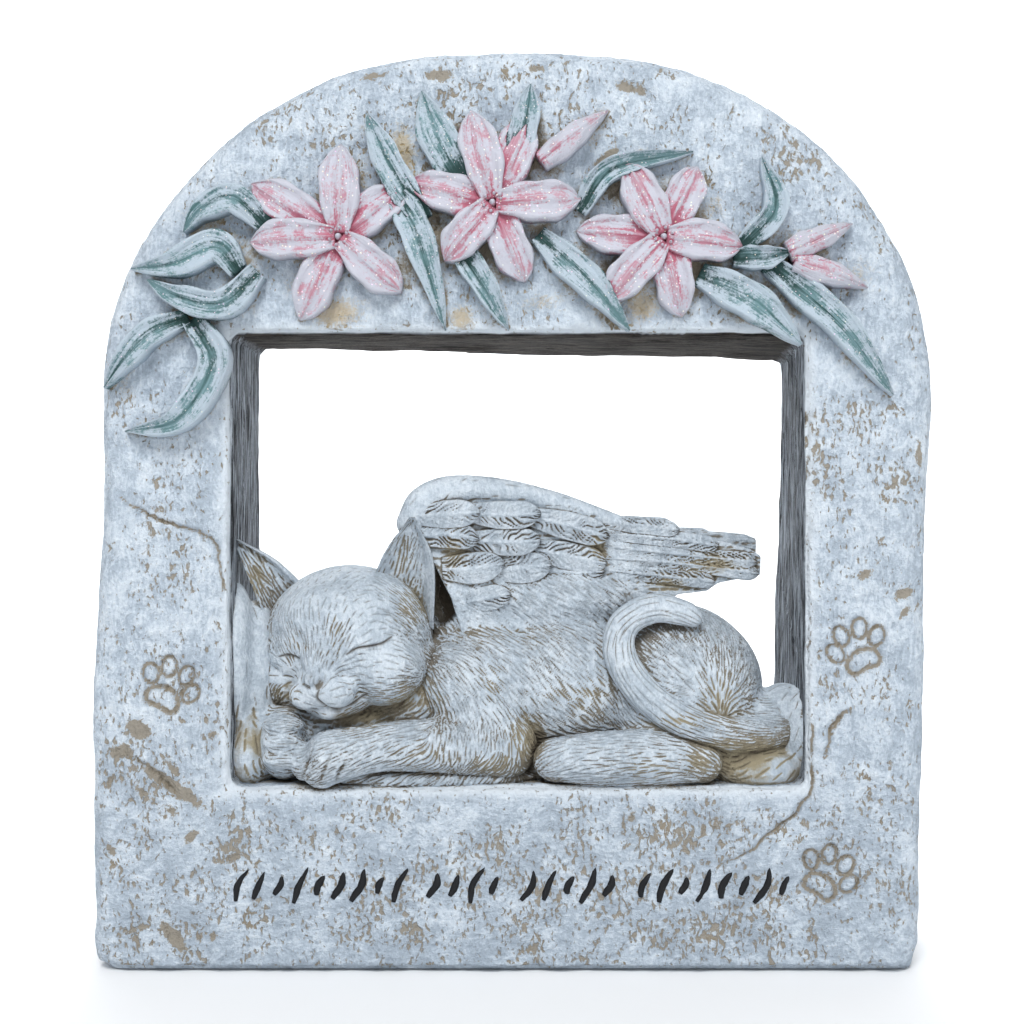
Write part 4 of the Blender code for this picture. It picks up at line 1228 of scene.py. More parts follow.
@dataclass
class Ear:
    """An ear: a cupped triangle between its two sides, each a path up to the tip."""

    name: str
    left: tuple
    right: tuple
    tip: tuple
    cup: float
    thickness: float
    lean: float
    comb: Comb = Comb(length=4.2, pitch=0.8, width=0.2, depth=0.26, waver=8.0, tries=4000)

    def build(self) -> Surface:
        """Makes the ear's piece."""
        wide, tall = 42, 84
        mesh = bmesh.new()
        bmesh.ops.create_grid(mesh, x_segments=wide, y_segments=tall, size=1)
        edge = mesh.verts.layers.float.new(Field.EDGE.value)
        left = spline((*self.left, self.tip), tall + 1)
        right = spline((*self.right, self.tip), tall + 1)
        for vert in mesh.verts:
            step = round((vert.co.y + 1) / 2 * tall)
            across = (vert.co.x + 1) / 2
            up = step / tall
            place = left[step].lerp(right[step], 0.5 + (across - 0.5) * 0.97)
            place.x += (across - 0.5) * 1.2 * up ** 6
            hollow = 1 - abs(2 * across - 1) ** 3
            place.y += self.cup * hollow * (1 - up) ** 0.5
            place.y -= (0.4 + 0.7 * across) * math.exp(-((abs(2 * across - 1) - 0.84) / 0.17) ** 2)
            place.y -= 0.7 * math.exp(-((across - 0.42 - 0.1 * up) / 0.1) ** 2) * math.sin(math.pi * up)
            vert[edge] = 2 * across - 1
            vert.co = place
        pulled = bmesh.ops.extrude_face_region(mesh, geom=mesh.faces[:], use_keep_orig=True)["geom"]
        bmesh.ops.translate(mesh, vec=(0, self.thickness, 0),
                            verts=[part for part in pulled if isinstance(part, bmesh.types.BMVert)])
        for vert in mesh.verts:
            vert.co = settle(vert.co)
        surface = Surface(piece(self.name, mesh))
        base = ((self.left[0][0] + self.right[0][0]) / 2, (self.left[0][2] + self.right[0][2]) / 2)
        lies = [(x + side * 5, z, self.lean - 10 * side) for side in (-1, 0, 1)
                for x, z in (base, (self.tip[0], self.tip[2]))]
        coat = Coat(lies)
        depth, share = self.comb.draw(surface, coat, 41).field(surface.points)
        rim = np.empty(len(share))
        surface.item.data.attributes[Field.EDGE.value].data.foreach_get("value", rim)
        inner = 1 - smoothstep(0.45, 0.7, rim) * 0.9
        surface.shift(-surface.normals * (depth * inner)[:, None])
        surface.paint(Field.CUT, share * inner)
        lay_hair(surface, coat)
        return surface


# The wings

@dataclass
class Wing:
    """A folded wing: its plate, its thick leading edge and its rows of feathers."""

    name: str
    near: bool
    front: float = 10.5
    thickness: float = 5.5
    tilt: float = 0.06
    middle: float = 21.5
    proud: float = 1.7
    tip: float = 1.6
    slant: float = 1.6
    barb_pitch: float = 1.8

    def place(self, x: float, height: float, z: float) -> Vector:
        """Places a point that stands a height above the wing's outer face."""
        depth = self.front + self.tilt * (x + 26) - height
        if self.near:
            return settle((x, depth, z))
        return settle((x, 2 * self.middle - depth, z + 2.4 * max(0.0, (x - 20) / 28) ** 2))

    def plate(self, mesh: bmesh.types.BMesh) -> None:
        """Adds the wing's plate, from the leading edge down to the trunk."""
        edge = spline(((-26, 55), (-25.5, 61), (-20.9, 65), (-14.5, 67.2), (-4, 66.9), (8, 64.0),
                       (19, 60.4), (27.3, 57), (34, 55.2), (46.9, 52.8)), 40)
        outline = [(point.x, point.y) for point in edge]
        outline += [(52.6, 51.2), (55.3, 49.6), (55.1, 45.2), (45.5, 43.4), (43.0, 41.6),
                    (36, 40.8), (30, 34), (10, 30), (-12, 30), (-15, 40), (-20, 50)]
        ring = bmesh.ops.create_circle(mesh, cap_ends=True, segments=len(outline), radius=1)["verts"]
        for vert, (x, z) in zip(ring, outline):
            vert.co = self.place(x, -self.thickness, z)
        pulled = bmesh.ops.extrude_face_region(mesh, geom=list(ring[0].link_faces), use_keep_orig=True)
        new = [part for part in pulled["geom"] if isinstance(part, bmesh.types.BMVert)]
        for vert in new:
            x, z = outline[min(range(len(ring)), key=lambda i: (ring[i].co - vert.co).length)]
            vert.co = self.place(x, 0.0, z)

    def roll(self, mesh: bmesh.types.BMesh) -> None:
        """Adds the thick leading edge."""
        for x, z, radius in spline(((-24, 57, 3.4), (-21.5, 62, 3.3), (-15, 64.6, 3.2), (-4, 64.4, 2.8),
                                    (8, 61.8, 2.5), (18, 58.6, 2.1), (27, 55.6, 1.6)), 70):
            place = Matrix.Translation(self.place(x, -1.2, z)) @ Matrix.Scale(radius, 4)
            bmesh.ops.create_icosphere(mesh, subdivisions=3, radius=1, matrix=place)

    def feather(self, mesh: bmesh.types.BMesh, root: tuple[float, float], tip: tuple[float, float],
                half: float, lift: float, seed: int) -> None:
        """Adds one feather, raised on the wing's outer face, with its barbs cut in.

        Args:
            mesh: The bmesh to add to.
            root: Where it starts, as x and z.
            tip: Where it ends.
            half: Its half width.
            lift: How far its root stands from the wing's face.
            seed: What its unevenness starts from.
        """
        edge = mesh.verts.layers.float.get(Field.EDGE.value)
        cut = mesh.verts.layers.float.get(Field.CUT.value)
        run = Vector(tip) - Vector(root)
        length = run.length
        wide, tall = (22 if half > 2 else 14), min(100, int(length / 0.26))
        if not self.near:
            wide, tall = wide // 2, tall // 2
        across = Vector((-run.y, run.x)).normalized()
        made = bmesh.ops.create_grid(mesh, x_segments=wide, y_segments=tall, size=1)["verts"]
        sway = noise.noise(Vector((seed, 0.5, 0.5)))
        for vert in made:
            side, along = vert.co.x, (vert.co.y + 1) / 2
            end = 1 - self.tip * half / length
            round_tip = max(0.0, 1 - (max(0.0, along - end) / (1 - end)) ** 2) ** 0.65
            width = half * max(0.03, round_tip) * (0.7 + 0.3 * min(1.0, 2.5 * along))
            bow = sway * half * 0.5 * math.sin(math.pi * along)
            flat = Vector(root) + run * along + across * (side * width + bow)
            stray = noise.noise(Vector((flat.x / 2.6, flat.y / 2.6, seed + 0.5)))
            slant = self.slant * (1.0 if half > 2 else 2.6)
            barbs = (length * along - abs(side) * half * slant) / self.barb_pitch + stray * 1.3
            strength = 0.7 + 0.4 * math.sin(12.9 * (barbs // 1) + 4 * (side > 0) + seed)
            barb = math.exp(-((barbs % 1.0 - 0.5) / 0.19) ** 2) * strength
            barb += 0.3 * math.exp(-((2.7 * barbs % 1.0 - 0.5) / 0.22) ** 2)
            barb *= min(1.0, abs(side) * 4) * max(0.0, 1 - abs(side) ** 6)
            shaft = math.exp(-(side / 0.12) ** 2)
            height = lift + self.proud * along + 0.55 * (1 - side ** 4) + 0.2 * shaft
            vert.co = self.place(flat.x, height - 0.85 * barb, flat.y)
            # The feather's outline counts as a cut, so it takes the grooves' painted shade and the stain.
            margin = max(abs(side) ** 14, max(0.0, 8 * along - 7.2) if along > 0.9 else 0.0)
            vert[edge], vert[cut] = side, max(0.75 * barb, 0.8 * margin)
        faces = list({face for vert in made for face in vert.link_faces})
        pulled = bmesh.ops.extrude_face_region(mesh, geom=faces, use_keep_orig=True)["geom"]
        back = self.proud * 1.6 if self.near else -self.proud * 1.6
        for part in pulled:
            if isinstance(part, bmesh.types.BMVert):
                part.co.y += back
                part[cut] = 0.0

    def build(self) -> list[Surface]:
        """Makes the wing's pieces: what is behind the feathers, and the feathers."""
        bones = bmesh.new()
        self.plate(bones)
        self.roll(bones)
        arm = Surface(melt(f"{self.name}_arm", bones, 0.5 if self.near else 0.8, 2))
        lies = ((-20, 60, 60, 0.1), (0, 64, 0, 0.1), (25, 57, -15, 0.1), (-10, 45, -30, 0.8),
                (5, 38, -35, 0.8), (20, 43, -25, 1.0), (35, 42.5, -8, 1.0), (50, 47, -6, 1.0))
        comb = Comb(length=2.6, pitch=0.9, width=0.22, depth=0.24, tries=6000,
                    facing=0.35 if self.near else 2.0)
        comb_out(arm, Coat(lies), comb, 53)
        mesh = bmesh.new()
        mesh.verts.layers.float.new(Field.EDGE.value)
        mesh.verts.layers.float.new(Field.CUT.value)
        rows = (((-11.5, 39.2, -1.5, 41.2), (-2.2, 40.9, 8.6, 43.0), (7.2, 42.6, 18.0, 41.6)),
                ((-17.0, 46.9, -3.0, 48.0), (-5.0, 46.4, 7.6, 47.6), (5.0, 46.6, 19.5, 46.2)),
                ((-22.0, 53.9, -8.6, 53.4), (-10.0, 53.1, 5.2, 53.2), (3.6, 51.2, 20.0, 47.8)),
                ((-22.0, 58.6, -8.4, 59.4), (-11.0, 59.3, 5.2, 59.2), (3.0, 58.4, 20.5, 53.9)))
        halves = (2.9, 3.6, 3.2, 3.2)
        for i, reach in enumerate((17.5, 26.5, 35.2, 35.6, 25.6)):
            root = (19.0, 57.2 - 2.7 * i)
            self.feather(mesh, root, (root[0] + reach, root[1] - 0.1 * reach), 1.95, -0.2 - 0.12 * i, 60 + i)
        for row, feathers in enumerate(rows if self.near else rows[-1:]):
            for i, (x, z, far_x, far_z) in enumerate(feathers):
                self.feather(mesh, (x, z), (far_x, far_z), halves[row], 0.5 * row - 0.35 * i - 0.2, 10 * row + i)
        return [arm, Surface(piece(f"{self.name}_feathers", mesh))]


@dataclass
class Inscription:
    """The row of slanted painted strokes that stands below the window."""

    height: float = 7.0
    lean: float = 0.42
    bow: float = 0.16
    groups: tuple = (9, 4, 5, 8)
    gap: float = 0.75
    row_height: float = 19.0
    half: float = 0.85

    def paths(self) -> list[list[tuple[float, float]]]:
        """Returns the strokes' paths on the face, in groups across the window's foot."""
        row = WINDOW_WIDTH - 2 * self.height * self.lean
        pitch = row / (sum(self.groups) - 1 + self.gap * (len(self.groups) - 1))
        x = -row / 2
        paths = []
        for gathered in self.groups:
            for _ in range(gathered):
                i = len(paths)
                tall = self.height * (0.8 + 0.3 * math.sin(2.4 * i + 0.6))
                bow = self.bow * tall * math.cos(1.7 * i)
                paths.append([(x + tall * self.lean * up + bow * (4 * up * up - 0.5),
                               self.row_height + tall * up) for up in (-0.5, 0.0, 0.5)])
                x += pitch
            x += self.gap * pitch
        return paths

    def build(self, slab: BVHTree) -> Surface:
        """Makes the strokes' piece: a bead of paint on the slab's uneven face."""
        spray = Spray(root=1.6)
        mesh = bmesh.new()
        for path in self.paths():
            hits = [slab.ray_cast(Vector((x, FRONT_Y - 5, z)), Vector((0, 1, 0)))[0] for x, z in path]
            points = [Vector((hit.x, FRONT_Y - hit.y + 0.05, hit.z)) for hit in hits]
            spray.blade(mesh, points, self.half, 0.12, lambda side, along: 0.4 * (1 - side ** 2), (6, 16), 0.5)
        return Surface(piece("painted_strokes", mesh))


# Where stain gathers, and painted shade in the recesses

@dataclass(frozen=True)
class StainAndShadeInHollows:
    """Finds how deep in a hollow each point lies: there a dry brush leaves the stain bare, and there the finishes
    paint shade.
    """

    reach: float = 7.0
    rays: int = 6
    spread: float = 55.0
    lift: float = 0.25

    def fill(self, surfaces: Sequence[Surface]) -> None:
        """Paints every surface with how much of its view the others block: stain and painted shade. The right
        ear's inside is brushed like the rest, so it counts for less and gets less painted shade."""
        points, faces = [], []
        for surface in surfaces:
            start = len(points)
            points += [Vector(row) for row in surface.points]
            faces += [tuple(start + i for i in face.vertices) for face in surface.item.data.polygons]
        tree = BVHTree.FromPolygons(points, faces)
        for surface in surfaces:
            share = 0.4 if surface.item.name == "ear_right" else 1.0
            # The blocked share is stored as a colour field: stain, and painted shade in recesses.
            surface.paint(Field.HOLLOW_STAIN_AND_SHADE, share * self.measure(tree, surface))

    def measure(self, tree: BVHTree, surface: Surface) -> np.ndarray:
        """Returns how much of each point's view is blocked, from nought to one."""
        normals = surface.normals
        helper = np.where(np.abs(normals[:, [2]]) < 0.9, [[0, 0, 1.0]], [[1.0, 0, 0]])
        side = np.cross(normals, helper)
        side /= np.linalg.norm(side, axis=1, keepdims=True)
        other = np.cross(normals, side)
        starts = surface.points + normals * self.lift
        blocked = np.zeros(len(starts))
        tilt = math.radians(self.spread)
        for k in range(self.rays):
            turn = 2 * math.pi * k / self.rays
            ways = (normals * math.cos(tilt) + side * math.sin(tilt) * math.cos(turn)
                    + other * math.sin(tilt) * math.sin(turn))
            for i, (start, way) in enumerate(zip(starts, ways)):
                distance = tree.ray_cast(start, way, self.reach)[3]
                if distance is not None:
                    blocked[i] += 1 - distance / self.reach
        return blocked / self.rays


# Finishes

def linear(code: str) -> tuple[float, float, float, float]:
    """Turns an sRGB hex colour into the linear values that a shader takes."""
    values = [int(code[i:i + 2], 16) / 255 for i in (0, 2, 4)]
    return tuple(v / 12.92 if v <= 0.04045 else ((v + 0.055) / 1.055) ** 2.4 for v in values) + (1.0,)


class Paint:
    """A material's node tree while it is put together."""

    def __init__(self, name: str) -> None:
        """Starts a material with only its shader and its output."""
        self.material = bpy.data.materials.new(name)
        self.material.use_nodes = True
        self.tree = self.material.node_tree
        self.shader = self.tree.nodes["Principled BSDF"]
        self.shader.inputs["Specular IOR Level"].default_value = 0.25
        place = self.add("ShaderNodeTexCoord", out="Object")
        self.mm = self.add("ShaderNodeVectorMath", {0: place, "Scale": 1 / MM}, operation="SCALE")

    def add(self, kind: str, sockets: dict | None = None, out: Any = 0, **settings: Any) -> Any:
        """Adds a node, sets its options and fills or links its sockets.

        Args:
            kind: The node's type.
            sockets: Values or other nodes' outputs, by socket name or number.
            out: The output to return, by name or number.
            settings: The node's options.

        Returns:
            The chosen output.
        """
        node = self.tree.nodes.new(kind)
        for name, value in settings.items():
            setattr(node, name, value)
        for key, value in (sockets or {}).items():
            if isinstance(value, bpy.types.NodeSocket):
                self.tree.links.new(value, node.inputs[key])
            else:
                node.inputs[key].default_value = value
        return node.outputs[out]

    def finish(self, colour: Any, rough: Any, height: Any, depth: float) -> bpy.types.Material:
        """Links the colour, the roughness and a bump of a depth in millimetres."""
        bump = self.add("ShaderNodeBump", {"Height": height, "Distance": depth * MM, "Strength": 1.0})
        for value, socket in ((colour, "Base Color"), (rough, "Roughness"), (bump, "Normal")):
            if isinstance(value, bpy.types.NodeSocket):
                self.tree.links.new(value, self.shader.inputs[socket])
            else:
                self.shader.inputs[socket].default_value = value
        return self.material


@dataclass(frozen=True)
class Whitewash:
    """Cast polyresin, stained tan and dry-brushed with a bluish white: chalky and matt, with the stain left in
    hollows, cuts and pits, painted shade in the hollows and grooves, and a tone that grows darker towards the
    bottom."""

    name: str
    shade: str = "98A4B1"
    white: str = "B9C6D3"
    pale: str = "DEE7EF"
    stain: str = "928979"
    deep: str = "5A5246"
    # The grey of painted shade in cuts and grooves.
    groove: str = "7D8388"
    gold: str = "BDA880"
    hairy: bool = False
    cut_pull: float = 0.42
    # The lintel's underside is near black, darker than the jambs: painted shade under the lintel, over the walls'
    # dark paint.
    lintel: tuple = ("181513", "5A544E")
    jamb: tuple = ("292B2F", "C3CDD8")

    def build(self) -> bpy.types.Material:
        """Returns the material."""
        paint = Paint(self.name)
        add = paint.add
        fields = {what: add("ShaderNodeAttribute", out="Fac", attribute_name=what.value)
                  for what in (Field.CUT, Field.LINE_AND_SHADE, Field.HOLLOW_STAIN_AND_SHADE, Field.BARE, Field.WORN, Field.GOLD_AND_SHADOW,
                               Field.REVEAL, Field.JAMB, Field.THICK, Field.RIM)}
        broad = add("ShaderNodeTexNoise", {"Vector": paint.mm, "Scale": 1 / 9, "Detail": 3.0})
        broad = add("ShaderNodeMapRange", {"Value": broad, "From Min": 0.34, "From Max": 0.66})
        fine = add("ShaderNodeTexNoise", {"Vector": paint.mm, "Scale": 1 / 0.7, "Detail": 4.0, "Roughness": 0.7})
        fine = add("ShaderNodeMapRange", {"Value": fine, "From Min": 0.28, "From Max": 0.72})
        brush = self.brush_marks(paint)
        if self.hairy:
            grain, dent = self.hair(paint, fields[Field.THICK]), 0.5
        else:
            grain, dent = self.specks(paint, fields[Field.WORN]), 1.0
        # Darker towards the bottom: the tone drops by 0.05 at the foot and rises by 0.05 above 55 mm.
        up = add("ShaderNodeSeparateXYZ", {0: paint.mm}, "Z")
        darker_towards_bottom = add("ShaderNodeMapRange", {"Value": up, "From Max": 55.0, "To Min": -0.05, "To Max": 0.05})
        tone = add("ShaderNodeMath", {0: broad, 1: 0.25, 2: darker_towards_bottom}, operation="MULTIPLY_ADD")
        tone = add("ShaderNodeMath", {0: fine, 1: 0.35, 2: tone}, operation="MULTIPLY_ADD")
        lumps = add("ShaderNodeTexNoise", {"Vector": paint.mm, "Scale": 1 / 2.6, "Detail": 3.0})
        lumps = add("ShaderNodeMapRange", {"Value": lumps, "From Min": 0.33, "From Max": 0.67})
        tone = add("ShaderNodeMath", {0: brush, 1: 0.28, 2: tone}, operation="MULTIPLY_ADD")
        tone = add("ShaderNodeMath", {0: lumps, 1: 0.2, 2: tone}, operation="MULTIPLY_ADD")
        colour = self.blend(paint, add("ShaderNodeMapRange", {"Value": tone, "From Min": 0.2, "From Max": 0.6}),
                            linear(self.shade), linear(self.white))
        high = add("ShaderNodeMapRange", {"Value": tone, "From Min": 0.52, "From Max": 0.9})
        colour = self.blend(paint, high, colour, linear(self.pale))
        colour = self.blend(paint, fields[Field.RIM], colour, linear(self.pale))
        # Cuts, paw prints, cracks and feather edges are painted grey: painted shade in the grooves.
        shaded = add("ShaderNodeMath", {0: fields[Field.CUT], 1: 0.6}, operation="MULTIPLY")
        colour = self.blend(paint, shaded, colour, linear(self.groove))
        # The stain shows where the pull is high; the hollow share in it is partly painted shade.
        pull = add("ShaderNodeMath", {0: fields[Field.CUT], 1: self.cut_pull, 2: -0.42}, operation="MULTIPLY_ADD")
        shares = (1.0, 0.3, 0.14, 0.25, 0.6) if self.hairy else (0.95, 0.4, 0.4, 0.55, 0.0)
        for value, share in zip((fields[Field.HOLLOW_STAIN_AND_SHADE], broad, fine, grain, fields[Field.WORN]), shares):
            pull = add("ShaderNodeMath", {0: value, 1: share, 2: pull}, operation="MULTIPLY_ADD")
        missed = add("ShaderNodeMapRange", {"Value": pull, "From Min": 0.32, "From Max": 0.68},
                     interpolation_type="SMOOTHSTEP")
        if not self.hairy:
            missed = add("ShaderNodeMath", {0: missed, 1: grain}, operation="MAXIMUM")
        if not self.hairy:
            flaked = add("ShaderNodeMath", {0: fine, 1: 0.7, 2: fields[Field.BARE]}, operation="MULTIPLY_ADD")
            flaked = add("ShaderNodeMath", {0: brush, 1: 0.5, 2: flaked}, operation="MULTIPLY_ADD")
            flaked = add("ShaderNodeMapRange", {"Value": flaked, "From Min": 0.55, "From Max": 0.75,
                                                "To Max": 0.9})
            missed = add("ShaderNodeMath", {0: missed, 1: flaked}, operation="MAXIMUM")
        # Golden stain between the leaves, and painted shadow under a bud.
        gold_and_shadow = add("ShaderNodeMath", {0: fields[Field.GOLD_AND_SHADOW], 1: 0.9, 2: -0.55}, operation="MULTIPLY_ADD")
        gold_and_shadow = add("ShaderNodeMath", {0: fine, 1: 0.7, 2: gold_and_shadow}, operation="MULTIPLY_ADD")
        gold_and_shadow = add("ShaderNodeMath", {0: broad, 1: 0.3, 2: gold_and_shadow}, operation="MULTIPLY_ADD")
        gold_and_shadow = add("ShaderNodeMapRange", {"Value": gold_and_shadow, "From Min": 0.3, "From Max": 0.7, "To Max": 0.75})
        warm = fields[Field.WORN if self.hairy else Field.GOLD_AND_SHADOW]
        stain = self.blend(paint, warm, linear(self.stain), linear(self.gold))
        # Deep in hollows and cuts the stain turns deep brown: painted shade.
        darker = add("ShaderNodeMapRange", {"Value": pull, "From Min": 0.75, "From Max": 1.5})
        stain = self.blend(paint, darker, stain, linear(self.deep))
        missed = add("ShaderNodeMath", {0: missed, 1: gold_and_shadow}, operation="MAXIMUM")
        colour = self.blend(paint, missed, colour, stain)
        # Lines, and the hole by the right ear, take the deep colour; in the hole it is painted shade.
        colour = self.blend(paint, fields[Field.LINE_AND_SHADE], colour, linear(self.deep))
        # The window walls take their dark paint, with painted shade on the lintel's underside.
        colour = self.blend(paint, fields[Field.REVEAL], colour, self.dark_wall(paint, fields[Field.JAMB]))
        rough = add("ShaderNodeMapRange", {"Value": missed, "To Min": 0.84, "To Max": 0.7})
        height = add("ShaderNodeMath", {0: grain, 1: -dent, 2: fine}, operation="MULTIPLY_ADD")
        height = add("ShaderNodeMath", {0: brush, 1: 0.45, 2: height}, operation="MULTIPLY_ADD")
        height = add("ShaderNodeMath", {0: lumps, 1: 0.3 if self.hairy else 1.3, 2: height},
                     operation="MULTIPLY_ADD")
        return paint.finish(colour, rough, height, 0.3)

    @staticmethod
    def blend(paint: Paint, share: Any, first: Any, second: Any) -> Any:
        """Mixes two colours."""
        return paint.add("ShaderNodeMix", {0: share, 6: first, 7: second}, 2, data_type="RGBA")

    def brush_marks(self, paint: Paint) -> Any:
        """Adds the streaks of a stiff brush, about 0.6 mm wide and 5 mm long, level at the foot
        and upright on the posts."""
        add = paint.add
        bend = add("ShaderNodeTexNoise", {"Vector": paint.mm, "Scale": 1 / 7, "Detail": 1.0}, "Color")
        where = add("ShaderNodeVectorMath", {0: bend, 1: (5.0, 5.0, 5.0), 2: paint.mm}, operation="MULTIPLY_ADD")
        level = add("ShaderNodeMapping", {"Vector": where, "Scale": (0.2, 1.4, 1.5)})
        upright = add("ShaderNodeMapping", {"Vector": where, "Scale": (1.5, 1.4, 0.25)})
        low = add("ShaderNodeSeparateXYZ", {0: paint.mm}, "Z")
        region = add("ShaderNodeTexNoise", {"Vector": paint.mm, "Scale": 1 / 25, "Detail": 1.0})
        region = add("ShaderNodeMath", {0: region, 1: 60.0, 2: low}, operation="MULTIPLY_ADD")
        region = add("ShaderNodeMapRange", {"Value": region, "From Min": 62.0, "From Max": 74.0})
        marks = [add("ShaderNodeTexNoise", {"Vector": way, "Scale": 1.0, "Detail": 3.0, "Roughness": 0.65})
                 for way in (level, upright)]
        mark = add("ShaderNodeMix", {0: region, 2: marks[0], 3: marks[1]}, 0, data_type="FLOAT")
        return add("ShaderNodeMapRange", {"Value": mark, "From Min": 0.3, "From Max": 0.7})

    def specks(self, paint: Paint, worn: Any) -> Any:
        """Adds the spots that the brush missed: ragged pits 0.4 to 2 mm across, taller than wide,
        in crowds where the paint is thin."""
        add = paint.add
        bend = add("ShaderNodeTexNoise", {"Vector": paint.mm, "Scale": 1 / 2.4, "Detail": 1.0}, "Color")
        where = add("ShaderNodeVectorMath", {0: bend, 1: (1.6, 1.6, 1.6), 2: paint.mm}, operation="MULTIPLY_ADD")
        tall = add("ShaderNodeMapping", {"Vector": where, "Scale": (1.15, 1.15, 0.62)})
        spot = add("ShaderNodeTexNoise", {"Vector": tall, "Scale": 1.0, "Detail": 2.5, "Roughness": 0.55})
        patch = add("ShaderNodeTexNoise", {"Vector": paint.mm, "Scale": 1 / 7, "Detail": 2.0})
        amount = add("ShaderNodeMath", {0: worn, 1: 0.15, 2: spot}, operation="MULTIPLY_ADD")
        amount = add("ShaderNodeMath", {0: patch, 1: 0.32, 2: amount}, operation="MULTIPLY_ADD")
        return add("ShaderNodeMapRange", {"Value": amount, "From Min": 0.79, "From Max": 0.87, "To Max": 0.88})

    def hair(self, paint: Paint, thick: Any) -> Any:
        """Adds fine hair: grooves about 0.4 mm wide and 3 mm long in six directions, of which the
        ones that the hair lies in show."""
        add = paint.add
        lie = add("ShaderNodeCombineXYZ", {i: add("ShaderNodeAttribute", out="Fac", attribute_name=what.value)
                                           for i, what in enumerate((Field.FLOW_COS, Field.FLOW_SIN))})
        total, groove = 0.001, 0.0
        for k in range(6):
            angle = math.pi * k / 6
            turned = add("ShaderNodeVectorRotate", {"Vector": paint.mm, "Angle": angle}, rotation_type="Y_AXIS")
            drawn = add("ShaderNodeVectorMath", {0: turned, 1: (0.33, 1.5, 1.75)}, operation="MULTIPLY")
            lines = add("ShaderNodeTexNoise", {"Vector": drawn, "Scale": 1.0, "Detail": 1.5})
            near = add("ShaderNodeVectorMath", {0: lie, 1: (math.cos(2 * angle), math.sin(2 * angle), 0.0)},
                       "Value", operation="DOT_PRODUCT")
            near = add("ShaderNodeMath", {0: near, 1: 0.0}, operation="MAXIMUM")
            near = add("ShaderNodeMath", {0: near, 1: 5.0}, operation="POWER")
            total = add("ShaderNodeMath", {0: near, 1: total}, operation="ADD")
            groove = add("ShaderNodeMath", {0: near, 1: lines, 2: groove}, operation="MULTIPLY_ADD")
        groove = add("ShaderNodeMath", {0: groove, 1: total}, operation="DIVIDE")
        groove = add("ShaderNodeMapRange", {"Value": groove, "From Min": 0.5, "From Max": 0.66})
        return add("ShaderNodeMath", {0: groove, 1: thick}, operation="MULTIPLY")

    def dark_wall(self, paint: Paint, jamb: Any) -> Any:
        """Adds the window walls' colour: dark paint with pale brush streaks about 1 mm wide along them, and near
        black on the lintel's underside as painted shade.
        """
        add = paint.add
        colours = []
        for scale, (dark, pale) in (((0.08, 1.7, 1.7), self.lintel), ((1.7, 1.7, 0.07), self.jamb)):
            where = add("ShaderNodeMapping", {"Vector": paint.mm, "Scale": scale})
            streak = add("ShaderNodeTexNoise", {"Vector": where, "Scale": 1.0, "Detail": 5.0, "Roughness": 0.75})
            share = add("ShaderNodeMapRange", {"Value": streak, "From Min": 0.44, "From Max": 0.64})
            colours.append(self.blend(paint, share, linear(dark), linear(pale)))
        return self.blend(paint, jamb, *colours)


